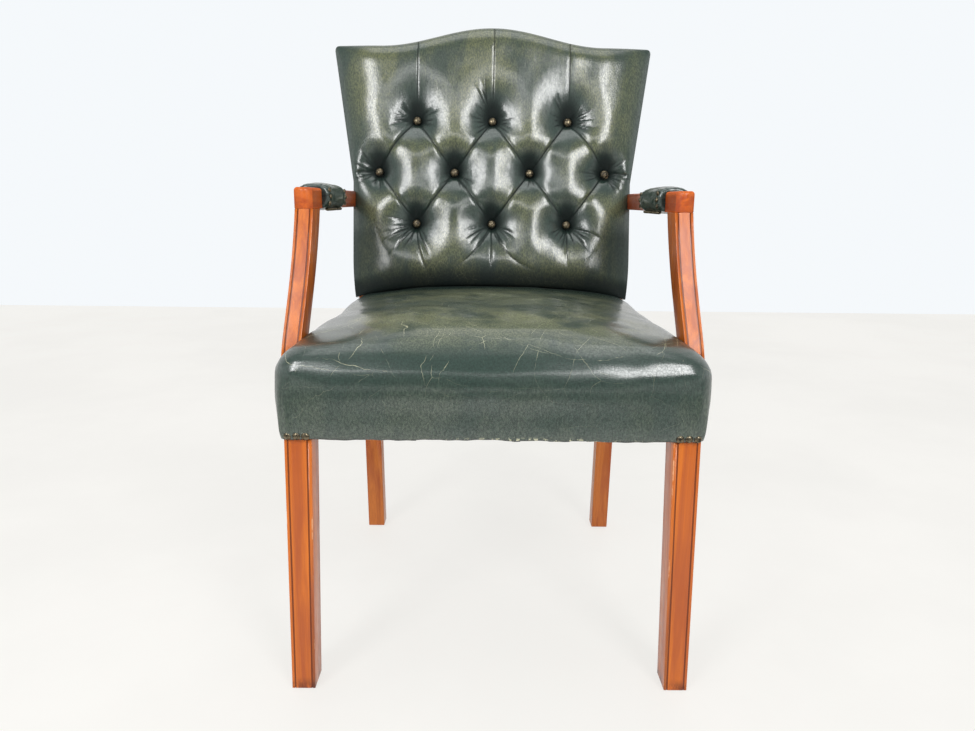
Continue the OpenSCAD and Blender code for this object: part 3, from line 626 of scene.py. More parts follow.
class SkinGroup(BuiltOnce):
    """Leather's grain: pores, fine creases, cracks, blotches, streaks and long scratches."""

    warp_scale = 30.0
    warp_share = 0.012
    crease_width = 0.16
    crack_width = 0.035
    patch_scale = 9.0
    patches = (0.50, 0.66)
    pore_scale = 900.0
    relief = 0.6
    upright = (1.0, 1.0, 0.42)
    mottle = (15.0, 5.0, 0.62, 0.3)
    streaks = (480.0, 4.0, 0.65)
    # Scale of the cells, radius of the scratch round each cell or 0 for the edges, and seed
    cells = ((2.1, 0.42, 0.0), (2.6, 0.30, 3.1), (3.4, 0.5, 7.7), (6.5, 0.0, 4.4), (8.5, 0.0, 9.3),
             (11.0, 0.0, 14.2))
    turns = (20, 9, 31)
    scratch_width = (0.00005, 0.00024)
    dashes = (17.0, 4.0, 0.7)
    dash_range = (0.46, 0.63)

    @staticmethod
    def build() -> Tree:
        """Draws the group.

        Returns:
            The group.
        """
        kind = SkinGroup
        tree, sheet, given, out = group_of(
            "leather_skin", "ShaderNodeTree",
            {"Place": (PLACE, None), "Crease Scale": (NUMBER, 230.0), "Crack Scale": (NUMBER, 90.0)},
            {"Height": NUMBER, "Cracks": NUMBER, "Mottle": NUMBER, "Streaks": NUMBER, "Scratches": NUMBER})
        place = given["Place"]
        warp = sheet.add("ShaderNodeTexNoise", {"Vector": place, "Scale": kind.warp_scale, "Detail": 3.0})
        bent = sheet.add("ShaderNodeMix", {0: kind.warp_share, 4: place, 5: warp.outputs["Color"]},
                         data_type="VECTOR").outputs[1]

        def away(spot: Feed, scale: Feed, feature: str = "DISTANCE_TO_EDGE") -> Socket:
            """The distance to the edges or middles of random cells."""
            inputs = {"Vector": spot, "Scale": scale}
            return sheet.add("ShaderNodeTexVoronoi", inputs, feature=feature).outputs["Distance"]

        creases = sheet.fit(away(bent, given["Crease Scale"]), 0.0, kind.crease_width, 1.0, 0.0)
        cracks = sheet.fit(away(bent, given["Crack Scale"]), 0.0, kind.crack_width, 1.0, 0.0)
        patches = sheet.fit(sheet.noise(place, kind.patch_scale, 4.0, 0.6), *kind.patches)
        pores = sheet.noise(place, kind.pore_scale)
        streaked = sheet.stretch(place, kind.upright)
        thin, wide = kind.scratch_width
        scratches: Feed = 0.0
        for scale, ring, seed in kind.cells:
            turn = tuple(seed * t for t in kind.turns)
            moved = sheet.stretch(bent, (1.0, 1.0, 1.0), turn, (seed, 0, 0))
            cell = away(moved, scale, "F1" if ring else "DISTANCE_TO_EDGE")
            level = sheet.math("ABSOLUTE", sheet.math("SUBTRACT", cell, ring))
            line = sheet.fit(level, thin * scale, wide * scale, 1.0, 0.0)
            dashed = sheet.fit(sheet.noise(moved, *kind.dashes), *kind.dash_range)
            scratches = sheet.math("MAXIMUM", scratches, sheet.times(line, dashed))
        height = sheet.math("SUBTRACT", sheet.times(pores, kind.relief), sheet.times(creases, kind.relief))
        results = {
            "Height": height,
            "Cracks": sheet.times(cracks, patches),
            "Mottle": sheet.noise(streaked, *kind.mottle),
            "Streaks": sheet.noise(streaked, *kind.streaks),
            "Scratches": scratches}
        for label, socket in results.items():
            sheet.feed(out.inputs[label], socket)
        return tree


class GrainGroup(BuiltOnce):
    """Wood grain along Z: soft stripes of tone, fibres and wear."""

    # Scale of each value's coordinates, and detail, roughness and bend of its noise
    values = {
        "Tone": ((55, 55, 2.2), (4.0, 0.6, 0.8)),
        "Fibres": ((900, 900, 14), (3.0, 0.6, 0.0)),
        "Wear": ((60, 60, 24), (4.0, 0.7, 0.0))}

    @staticmethod
    def build() -> Tree:
        """Draws the group.

        Returns:
            The group.
        """
        outputs = dict.fromkeys(GrainGroup.values, NUMBER)
        tree, sheet, given, out = group_of("wood_grain", "ShaderNodeTree", {"Place": (PLACE, None)}, outputs)
        for label, (scale, form) in GrainGroup.values.items():
            noise = sheet.noise(sheet.stretch(given["Place"], scale), 1.0, *form)
            sheet.feed(out.inputs[label], noise)
        return tree


def new_material(name: str) -> tuple[Material, Sheet, bpy.types.Node]:
    """Starts a material.

    Args:
        name: The material's name.

    Returns:
        The material, a sheet to draw on, and its Principled node.
    """
    material = bpy.data.materials.new(name)
    material.use_nodes = True
    sheet = Sheet(material.node_tree)
    return material, sheet, material.node_tree.nodes["Principled BSDF"]


@dataclass(frozen=True)
class Leather:
    """Dark green leather, rubbed olive where it is touched.

    It is painted deep green in the folds, round the buttons and in other hollows, as painted
    shade, and darker in random streaks; it is pale in scratches and cracks. Rough is the roughness
    between the blotches and in them, gloss the weight of the clear finish on flat leather
    and in the folds, and relief the strength and the depth of the pores.
    """

    name: str
    green: Colour = (0.019, 0.047, 0.035, 1)
    olive: Colour = (0.125, 0.143, 0.058, 1)
    # deep: colour of the painted shade in folds and hollows, and of the random dark streaks
    deep: Colour = (0.0025, 0.006, 0.006, 1)
    pale: Colour = (0.42, 0.42, 0.26, 1)
    scratched: float = 0.0
    cracked: float = 0.3
    shadow: float = 0.94
    rough: Range = (0.40, 0.48)
    rougher: float = 0.3
    specular: float = 0.3
    gloss: Range = (1.0, 0.03)
    coat_rough: float = 0.21
    coat_ior: float = 1.95
    relief: Range = (0.4, 0.35)

    def build(self) -> Material:
        """Draws the material.

        Returns:
            The material.
        """
        material, sheet, surface = new_material(self.name)
        place = sheet.place()
        skin = sheet.add("ShaderNodeGroup", {"Place": place}, node_tree=SkinGroup.get()).outputs
        fold_and_shade = sheet.value("fold_and_shade")
        streaks = sheet.fit(skin["Streaks"], 0.28, 0.72)
        blotches = sheet.fit(skin["Mottle"], 0.36, 0.62, 0.12, 1.0)
        worn = sheet.times(sheet.value("rub"), sheet.times(blotches, sheet.scaled(streaks, 0.62, 1.2)),
                           clamp=True)
        colour = sheet.blend(worn, self.green, self.olive)
        colour = sheet.blend(sheet.scaled(streaks, 0.45, 0.0), colour, self.deep)
        # Painted shade: the fold_and_shade value darkens folds, hollows and recesses towards deep green
        colour = sheet.blend(sheet.times(fold_and_shade, self.shadow), colour, self.deep)
        marks = self.marks(sheet, skin, worn, place)
        sheet.feed(surface.inputs["Base Color"], sheet.blend(marks, colour, self.pale))
        extra = sheet.times(sheet.math("MAXIMUM", marks, fold_and_shade), self.rougher)
        rough = sheet.math("ADD", sheet.fit(skin["Mottle"], 0.3, 0.7, *self.rough), extra)
        sheet.feed(surface.inputs["Roughness"], rough)
        surface.inputs["Specular IOR Level"].default_value = self.specular
        grain = sheet.times(sheet.fit(skin["Height"], -0.3, 0.45, 0.6, 1.0), sheet.scaled(streaks, 0.68, 1.0))
        grain = sheet.times(grain, sheet.scaled(sheet.value("dull"), 1.0, 0.25))
        sheet.feed(surface.inputs["Coat Weight"], sheet.times(sheet.fit(fold_and_shade, 0.1, 0.9, *self.gloss), grain))
        surface.inputs["Coat Roughness"].default_value = self.coat_rough
        surface.inputs["Coat IOR"].default_value = self.coat_ior
        sheet.bump(surface, skin["Height"], *self.relief)
        return material

    def marks(self, sheet: Sheet, skin: bpy.types.NodeOutputs, worn: Feed,
              place: Feed) -> Socket:
        """Draws the scratches, the cracks and the chips of a frayed edge.

        Args:
            sheet: The sheet to draw on.
            skin: The outputs of the leather's grain.
            worn: How much of the dye is rubbed off.
            place: Object coordinates.

        Returns:
            How pale the leather is.
        """
        scratches = sheet.times(sheet.times(skin["Scratches"], sheet.value("scuff")), self.scratched)
        cracks = sheet.times(skin["Cracks"], sheet.times(worn, self.cracked))
        chips = sheet.times(sheet.fit(sheet.noise(place, 150.0), 0.54, 0.58), sheet.value("frayed"))
        return sheet.math("MAXIMUM", sheet.math("MAXIMUM", scratches, cracks), chips)


@dataclass(frozen=True)
class Wood:
    """Stained and polished wood.

    Light and dark are the stripes, line the scratched bead lines and bare the worn edges. The
    bead lines run bead_in from the edges, or aren't there when it is 0. Polish is the weight
    of the clear finish, and relief the strength and the depth of the fibres.
    """

    name: str
    grain: Grain = Grain.UPRIGHT
    light: Colour = (0.66, 0.165, 0.013, 1)
    dark: Colour = (0.42, 0.088, 0.016, 1)
    line: Colour = (0.12, 0.020, 0.004, 1)
    bare: Colour = (0.86, 0.52, 0.30, 1)
    bead_in: float = 0.0
    streaky: float = 0.35
    rough: Range = (0.30, 0.46)
    specular: float = 0.35
    polish: float = 0.25
    coat_rough: float = 0.16
    relief: Range = (0.12, 0.2)

    def build(self) -> Material:
        """Draws the material.

        Returns:
            The material.
        """
        material, sheet, surface = new_material(self.name)
        turns = {Grain.UPRIGHT: (0, 0, 0), Grain.FORE_AND_AFT: (90, 0, 0), Grain.ACROSS: (0, 90, 0)}
        place = sheet.stretch(sheet.place(), (1, 1, 1), turns[self.grain])
        grain = sheet.add("ShaderNodeGroup", {"Place": place}, node_tree=GrainGroup.get()).outputs
        fibres = sheet.fit(grain["Fibres"], 0.35, 0.75)
        colour = sheet.blend(sheet.fit(grain["Tone"], 0.34, 0.68), self.light, self.dark)
        colour = sheet.blend(sheet.times(fibres, self.streaky), colour, self.dark)
        if self.bead_in:
            colour = self.worn_edges(sheet, colour, grain["Wear"])
        sheet.feed(surface.inputs["Base Color"], colour)
        sheet.feed(surface.inputs["Roughness"], sheet.fit(grain["Wear"], 0.3, 0.7, *self.rough))
        surface.inputs["Specular IOR Level"].default_value = self.specular
        surface.inputs["Coat Weight"].default_value = self.polish
        surface.inputs["Coat Roughness"].default_value = self.coat_rough
        sheet.bump(surface, fibres, *self.relief)
        return material

    def worn_edges(self, sheet: Sheet, colour: Feed, wear: Feed) -> Socket:
        """Darkens the bead lines, bares the edges, and darkens the lowest part in patches.

        Args:
            sheet: The sheet to draw on.
            colour: Colour of the wood.
            wear: Noise that says where the wood is worn.

        Returns:
            Colour of the worn wood.
        """
        normal = sheet.axes(sheet.add("ShaderNodeNewGeometry").outputs["Normal"])
        edge = sheet.math("MINIMUM", sheet.value("from_outer"), sheet.value("from_inner"))
        off_line = sheet.math("ABSOLUTE", sheet.math("SUBTRACT", edge, self.bead_in))
        front = sheet.fit(sheet.times(normal[1], -1.0), 0.05, 0.3)
        line = sheet.times(sheet.fit(off_line, 0.7, 1.5, 0.85, 0.0), front)
        colour = sheet.blend(line, colour, self.line)
        across = sheet.math("ABSOLUTE", normal[0])
        rim = sheet.times(sheet.fit(edge, 0.2, 1.3, 1.0, 0.0), sheet.fit(across, 0.97, 0.8))
        colour = sheet.blend(sheet.times(rim, sheet.fit(wear, 0.56, 0.68, 0.0, 0.6)), colour, self.bare)
        # Darker towards the bottom: the lowest 22 mm darken in patches towards the bead lines' colour
        low = sheet.axes(sheet.place())[2]
        scuff = sheet.times(sheet.fit(low, 0.004, 0.022, 0.8, 0.0), sheet.fit(wear, 0.4, 0.6))
        return sheet.blend(scuff, colour, self.line)


@dataclass(frozen=True)
class Metal:
    """Bronze or steel with a thin tarnish.

    Share says how much of it is tarnished, and relief is the strength and depth of its dents.
    """

    name: str
    bright: Colour = (0.21, 0.175, 0.115, 1)
    tarnish: Colour = (0.045, 0.040, 0.032, 1)
    share: float = 0.6
    roughness: Range = (0.26, 0.50)
    relief: Range = (0.25, 0.3)

    def build(self) -> Material:
        """Draws the material.

        Returns:
            The material.
        """
        material, sheet, surface = new_material(self.name)
        place = sheet.place()
        stain = sheet.noise(place, 240.0, 4.0, 0.65)
        dull = sheet.fit(stain, 0.62 - self.share * 0.3, 0.72 - self.share * 0.15)
        sheet.feed(surface.inputs["Base Color"], sheet.blend(dull, self.bright, self.tarnish))
        sheet.feed(surface.inputs["Roughness"], sheet.fit(stain, 0.35, 0.65, *self.roughness))
        surface.inputs["Metallic"].default_value = 1.0
        sheet.bump(surface, sheet.noise(place, 420.0, 2.0), *self.relief)
        return material


@dataclass(frozen=True)
class Woven:
    """Plain woven cloth.

    Pitch is the distance from thread to thread, fuzz says how much darker patches show, and
    relief is the strength and the depth of the threads.
    """

    name: str
    thread: Colour
    gap: Colour
    pitch: float = 1.6
    fuzz: float = 0.35
    roughness: float = 0.95
    specular: float = 0.2
    relief: Range = (0.5, 0.4)

    def build(self) -> Material:
        """Draws the material.

        Returns:
            The material.
        """
        material, sheet, surface = new_material(self.name)
        place = sheet.place()
        axes = sheet.axes(place)
        turns = math.pi / (self.pitch * MM)
        warp, weft = (sheet.math("ABSOLUTE", sheet.math("SINE", sheet.times(along, turns)))
                      for along in (axes[0], sheet.math("ADD", axes[1], axes[2])))
        height = sheet.times(sheet.math("MAXIMUM", warp, weft), sheet.noise(place, 700.0))
        colour = sheet.blend(sheet.fit(height, 0.25, 0.5), self.gap, self.thread)
        patches = sheet.fit(sheet.noise(place, 40.0), 0.35, 0.7, 0.0, self.fuzz)
        sheet.feed(surface.inputs["Base Color"], sheet.blend(patches, colour, self.gap))
        surface.inputs["Roughness"].default_value = self.roughness
        surface.inputs["Specular IOR Level"].default_value = self.specular
        sheet.bump(surface, height, *self.relief)
        return material


@dataclass(frozen=True)
class Foam:
    """Soft open foam, whose relief is the strength and the depth of its cells."""

    name: str
    light: Colour = (0.80, 0.74, 0.52, 1)
    dark: Colour = (0.62, 0.54, 0.34, 1)
    cell_scale: float = 700.0
    roughness: float = 0.95
    relief: Range = (0.6, 0.5)

    def build(self) -> Material:
        """Draws the material.

        Returns:
            The material.
        """
        material, sheet, surface = new_material(self.name)
        inputs = {"Vector": sheet.place(), "Scale": self.cell_scale}
        cells = sheet.add("ShaderNodeTexVoronoi", inputs).outputs["Distance"]
        colour = sheet.blend(sheet.fit(cells, 0.2, 0.8), self.dark, self.light)
        sheet.feed(surface.inputs["Base Color"], colour)
        surface.inputs["Roughness"].default_value = self.roughness
        sheet.bump(surface, cells, *self.relief)
        return material


@dataclass
class Finishes:
    """The finishes of the chair, each built once."""

    back: Material = field(default_factory=Leather("back_leather", cracked=0.08).build)
    seat: Material = field(default_factory=Leather(
        "seat_leather", olive=(0.24, 0.26, 0.14, 1), pale=(0.60, 0.60, 0.40, 1), scratched=0.85,
        cracked=0.5).build)
    plain: Material = field(default_factory=Leather("plain_leather").build)
    legs: Material = field(default_factory=Wood("leg_wood", bead_in=4.6).build)
    posts: Material = field(default_factory=Wood(
        "post_wood", light=(0.70, 0.21, 0.035, 1), dark=(0.46, 0.10, 0.02, 1)).build)
    arms: Material = field(default_factory=Wood(
        "rail_wood", Grain.FORE_AND_AFT, light=(0.62, 0.13, 0.012, 1), dark=(0.36, 0.05, 0.008, 1)).build)
    beech: Material = field(default_factory=Wood(
        "beech", Grain.ACROSS, light=(0.66, 0.48, 0.28, 1), dark=(0.52, 0.34, 0.18, 1), polish=0.0).build)
    stained: Material = field(default_factory=Wood(
        "stained_beech", Grain.FORE_AND_AFT, light=(0.022, 0.018, 0.014, 1),
        dark=(0.010, 0.008, 0.007, 1), polish=0.0).build)
    bronze: Material = field(default_factory=Metal("aged_bronze").build)
    steel: Material = field(default_factory=Metal(
        "steel", bright=(0.62, 0.62, 0.63, 1), tarnish=(0.25, 0.24, 0.23, 1), share=0.2,
        roughness=(0.20, 0.38)).build)
    jute: Material = field(default_factory=Woven(
        "jute", thread=(0.50, 0.36, 0.19, 1), gap=(0.16, 0.10, 0.05, 1)).build)
    twine: Material = field(default_factory=Woven(
        "twine", thread=(0.62, 0.54, 0.40, 1), gap=(0.30, 0.24, 0.16, 1), pitch=0.5).build)
    black: Material = field(default_factory=Woven(
        "black_cloth", thread=(0.020, 0.020, 0.022, 1), gap=(0.004, 0.004, 0.004, 1), pitch=0.9).build)
    foam: Material = field(default_factory=Foam("foam").build)


# Studs and buttons


class StudTree(BuiltOnce):
    """Geometry nodes that set a domed stud on each point of a mesh."""

    @staticmethod
    def build() -> Tree:
        """Draws the tree.

        Returns:
            The tree.
        """
        tree, sheet, given, out = group_of(
            "stud_rows", "GeometryNodeTree",
            {"Places": (GEOMETRY, None), "Radius": (NUMBER, 5.5 * MM), "Height": (NUMBER, 3 * MM),
             "Unevenness": (NUMBER, 0.05), "Segments": ("NodeSocketInt", 14),
             "Finish": ("NodeSocketMaterial", None), "Seed": ("NodeSocketInt", 7)},
            {"Geometry": GEOMETRY})
        dome = sheet.add("GeometryNodeMeshUVSphere",
                         {"Segments": given["Segments"], "Rings": 8, "Radius": 1.0})
        size = sheet.add("ShaderNodeCombineXYZ", {0: given["Radius"], 1: given["Radius"], 2: given["Height"]})
        stud = sheet.add("GeometryNodeTransform", {"Geometry": dome.outputs[0], "Scale": size.outputs[0]})
        out_way = sheet.add("GeometryNodeInputNamedAttribute", {"Name": "out"}, data_type="FLOAT_VECTOR")
        turn = sheet.add("FunctionNodeAlignRotationToVector", {"Vector": out_way.outputs[0]}, axis="Z")
        low = sheet.math("SUBTRACT", 1.0, given["Unevenness"])
        high = sheet.math("ADD", 1.0, given["Unevenness"])
        scale = sheet.add("FunctionNodeRandomValue", {2: low, 3: high, "Seed": given["Seed"]},
                          data_type="FLOAT")
        placed = sheet.add("GeometryNodeInstanceOnPoints",
                           {"Points": given["Places"], "Instance": stud.outputs[0],
                            "Rotation": turn.outputs[0], "Scale": scale.outputs[1]})
        whole = sheet.add("GeometryNodeRealizeInstances", {0: placed.outputs[0]})
        soft = sheet.add("GeometryNodeSetShadeSmooth", {"Geometry": whole.outputs[0]})
        dressed = sheet.add("GeometryNodeSetMaterial",
                            {"Geometry": soft.outputs[0], "Material": given["Finish"]})
        sheet.feed(out.inputs[0], dressed.outputs[0])
        return tree


@dataclass
class Studs:
    """A group of domed studs or buttons, set where the frame's own are.

    Attributes:
        node: The CAD node that holds them.
        finish: Their material.
        segments: Sides of each dome.
        unevenness: How much their size varies.
        seed: Fixes their sizes.
    """

    node: str
    finish: Material
    segments: int = 14
    unevenness: float = 0.05
    seed: int = 7

    def islands(self) -> list[tuple[Vector, Vector, float, float]]:
        """Finds each stud of the node.

        Returns:
            For each stud the middle of its flat side, the way it points, its radius and height.
        """
        work = bmesh.new()
        work.from_mesh(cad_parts[self.node].data)
        bmesh.ops.remove_doubles(work, verts=work.verts, dist=0.002 * MM)
        seen: set[int] = set()
        found = []
        for first in work.verts:
            if first.index in seen:
                continue
            seen.add(first.index)
            heap, island = [first], []
            while heap:
                vert = heap.pop()
                island.append(vert)
                for edge in vert.link_edges:
                    other = edge.other_vert(vert)
                    if other.index not in seen:
                        seen.add(other.index)
                        heap.append(other)
            found.append(self.measure(island))
        work.free()
        return found

    @staticmethod
    def measure(island: list) -> tuple[Vector, Vector, float, float]:
        """Measures one stud.

        Args:
            island: The stud's points.

        Returns:
            The middle of its flat side, the way it points, its radius and its height.
        """
        faces = {f for v in island for f in v.link_faces}
        flat: dict[tuple, float] = {}
        ways: dict[tuple, Vector] = {}
        for face in faces:
            key = tuple(round(c, 2) for c in face.normal)
            flat[key] = flat.get(key, 0.0) + face.calc_area()
            ways[key] = face.normal.copy()
        out = -ways[max(flat, key=flat.get)]
        spots = np.array([v.co for v in island])
        out_way = np.array(out)
        heights = spots @ out_way
        flat_spots = spots - np.outer(heights, out_way)
        middle = (flat_spots.min(0) + flat_spots.max(0)) / 2
        away = np.linalg.norm(flat_spots - middle, axis=1)
        foot = heights[away > 0.97 * away.max()].min()
        return Vector(middle + foot * out_way), out, float(away.max()), float(heights.max() - foot)

    def build(self, slot: str = "bronze") -> Piece:
        """Sets the studs and makes them one piece.

        Args:
            slot: The record's material slot. It is not used.

        Returns:
            The piece.
        """
        found = self.islands()
        name = f"{self.node}_domed"
        piece = new_piece(name, np.array([SETTING.drawing(np.array(f[0])) for f in found]), [])
        layer = piece.data.attributes.new("out", "FLOAT_VECTOR", "POINT")
        layer.data.foreach_set("vector", np.array([f[1] for f in found], np.float32).ravel())
        modifier = piece.modifiers.new("studs", "NODES")
        modifier.node_group = StudTree.get()
        given = {"Radius": max(f[2] for f in found), "Height": found[0][3], "Segments": self.segments,
                 "Unevenness": self.unevenness, "Finish": self.finish, "Seed": self.seed}
        for item in StudTree.get().interface.items_tree:
            if item.in_out == "INPUT" and item.name in given:
                modifier[item.identifier] = given[item.name]
        bake_modifiers(piece)
        return own(piece, self.finish, [self.node])


# The back


@dataclass(frozen=True)
class Fold:
    """A line along which the leather is folded in, steep on one side and soft on the other.

    Attributes:
        start: Where it starts, across and up.
        bend: The point that it bends towards.
        end: Where it ends.
        depth: Its depth.
        steep: Width of its steep side.
        soft: Width of its soft side; below 0 the soft side is the other one.
        dark: How dark its line is painted, as painted shade in the crease.
        line: Half the width of the painted dark line.
        fade: How far along it starts to fade out; 1 for a pleat that doesn't.
        steps: Straight stretches that stand for its curve.
    """

    start: tuple[float, float]
    bend: tuple[float, float]
    end: tuple[float, float]
    depth: float = 1.2
    steep: float = 1.3
    soft: float = 6.0
    dark: float = 0.8
    line: float = 1.3
    fade: float = 0.4
    steps: int = 8

    def press(self, x: Array, up: Array, depth: Array, dark: Array) -> None:
        """Presses the fold into a face.

        Args:
            x: Distance across of the face's points.
            up: Distance up of its points.
            depth: Depth of its points, which grows.
            dark: How dark each point's painted crease shade is, which grows.
        """
        t = np.linspace(0, 1, self.steps + 1)[:, None]
        a, b, c = (np.array(p, float) for p in (self.start, self.bend, self.end))
        line = a * (1 - t) ** 2 + 2 * b * t * (1 - t) + c * t * t
        reach = 5 * max(self.steep, abs(self.soft))
        low, high = line.min(0) - reach, line.max(0) + reach
        near = (x > low[0]) & (x < high[0]) & (up > low[1]) & (up < high[1])
        px, pu = x[near], up[near]
        best, side, along = np.full(px.shape, 1e9), np.zeros(px.shape), np.zeros(px.shape)
        for k in range(self.steps):
            p, d = line[k], line[k + 1] - line[k]
            s = np.clip(((px - p[0]) * d[0] + (pu - p[1]) * d[1]) / (d @ d), 0, 1)
            ox, ou = px - p[0] - s * d[0], pu - p[1] - s * d[1]
            away = np.hypot(ox, ou)
            closer = away < best
            best = np.where(closer, away, best)
            side = np.where(closer, d[0] * ou - d[1] * ox, side)
            along = np.where(closer, (k + s) / self.steps, along)
        width = np.where((side > 0) == (self.soft > 0), self.steep, abs(self.soft))
        weight = smooth(along, 1.001, self.fade) if self.fade < 1 else np.ones(px.shape)
        depth[near] += self.depth * weight * np.exp(-best / width)
        # Painted shade: a dark line along the crease
        dark[near] = np.maximum(dark[near], self.dark * weight * bell(best, self.line))


@dataclass(frozen=True)
class Fan:
    """Folds that spread from a button.

    Attributes:
        low: The first way that they run, in degrees from the right.
        high: The last way.
        count: How many there are.
        reach: About how far they run.
    """

    low: float
    high: float
    count: int
    reach: float

    def folds(self, x: float, up: float, draw: np.random.Generator) -> list[Fold]:
        """Draws the folds round a button.

        Args:
            x: The button's distance across.
            up: Its distance up.
            draw: Random numbers, which it takes in turn.

        Returns:
            The folds.
        """
        made = []
        for k in range(self.count):
            way = self.low + (self.high - self.low) * (k + draw.uniform(0.15, 0.85)) / self.count
            a, turn = math.radians(way), draw.uniform(-0.22, 0.22)
            length = self.reach * draw.uniform(0.75, 1.3)
            spots = [(x + r * math.cos(a + t), up + r * math.sin(a + t))
                     for r, t in ((7.5, 0.0), (0.5 * length, turn), (length, 0.0))]
            soft = draw.uniform(3, 6) * (1 if draw.uniform() < 0.5 else -1)
            made.append(Fold(*spots, depth=draw.uniform(0.7, 1.4), soft=soft, dark=draw.uniform(0.75, 1.0),
                             line=draw.uniform(1.2, 1.8), fade=0.6))
        return made


# Fans of each button, rows from the lowest up, each row from left to right
FANS = (
    ((Fan(165, 262, 8, 62), Fan(60, 120, 4, 34), Fan(-85, -50, 3, 46)),
     (Fan(195, 250, 5, 54), Fan(-70, -20, 5, 52), Fan(60, 120, 4, 34)),
     (Fan(-95, -8, 10, 54), Fan(200, 260, 5, 44), Fan(60, 120, 4, 34))),
    ((Fan(112, 208, 9, 50), Fan(225, 300, 4, 34)),
     (Fan(60, 120, 4, 32), Fan(-80, -20, 4, 38), Fan(195, 240, 3, 30)),
     (Fan(60, 120, 5, 34), Fan(-105, -60, 3, 30)),
     (Fan(-60, 48, 10, 50), Fan(165, 215, 5, 48))),
    ((Fan(105, 197, 10, 56), Fan(-35, 42, 5, 42)),
     (Fan(96, 124, 4, 74), Fan(130, 230, 6, 40), Fan(-45, 56, 7, 40)),
     (Fan(-25, 56, 9, 50), Fan(108, 126, 2, 62), Fan(150, 215, 4, 38))),
)


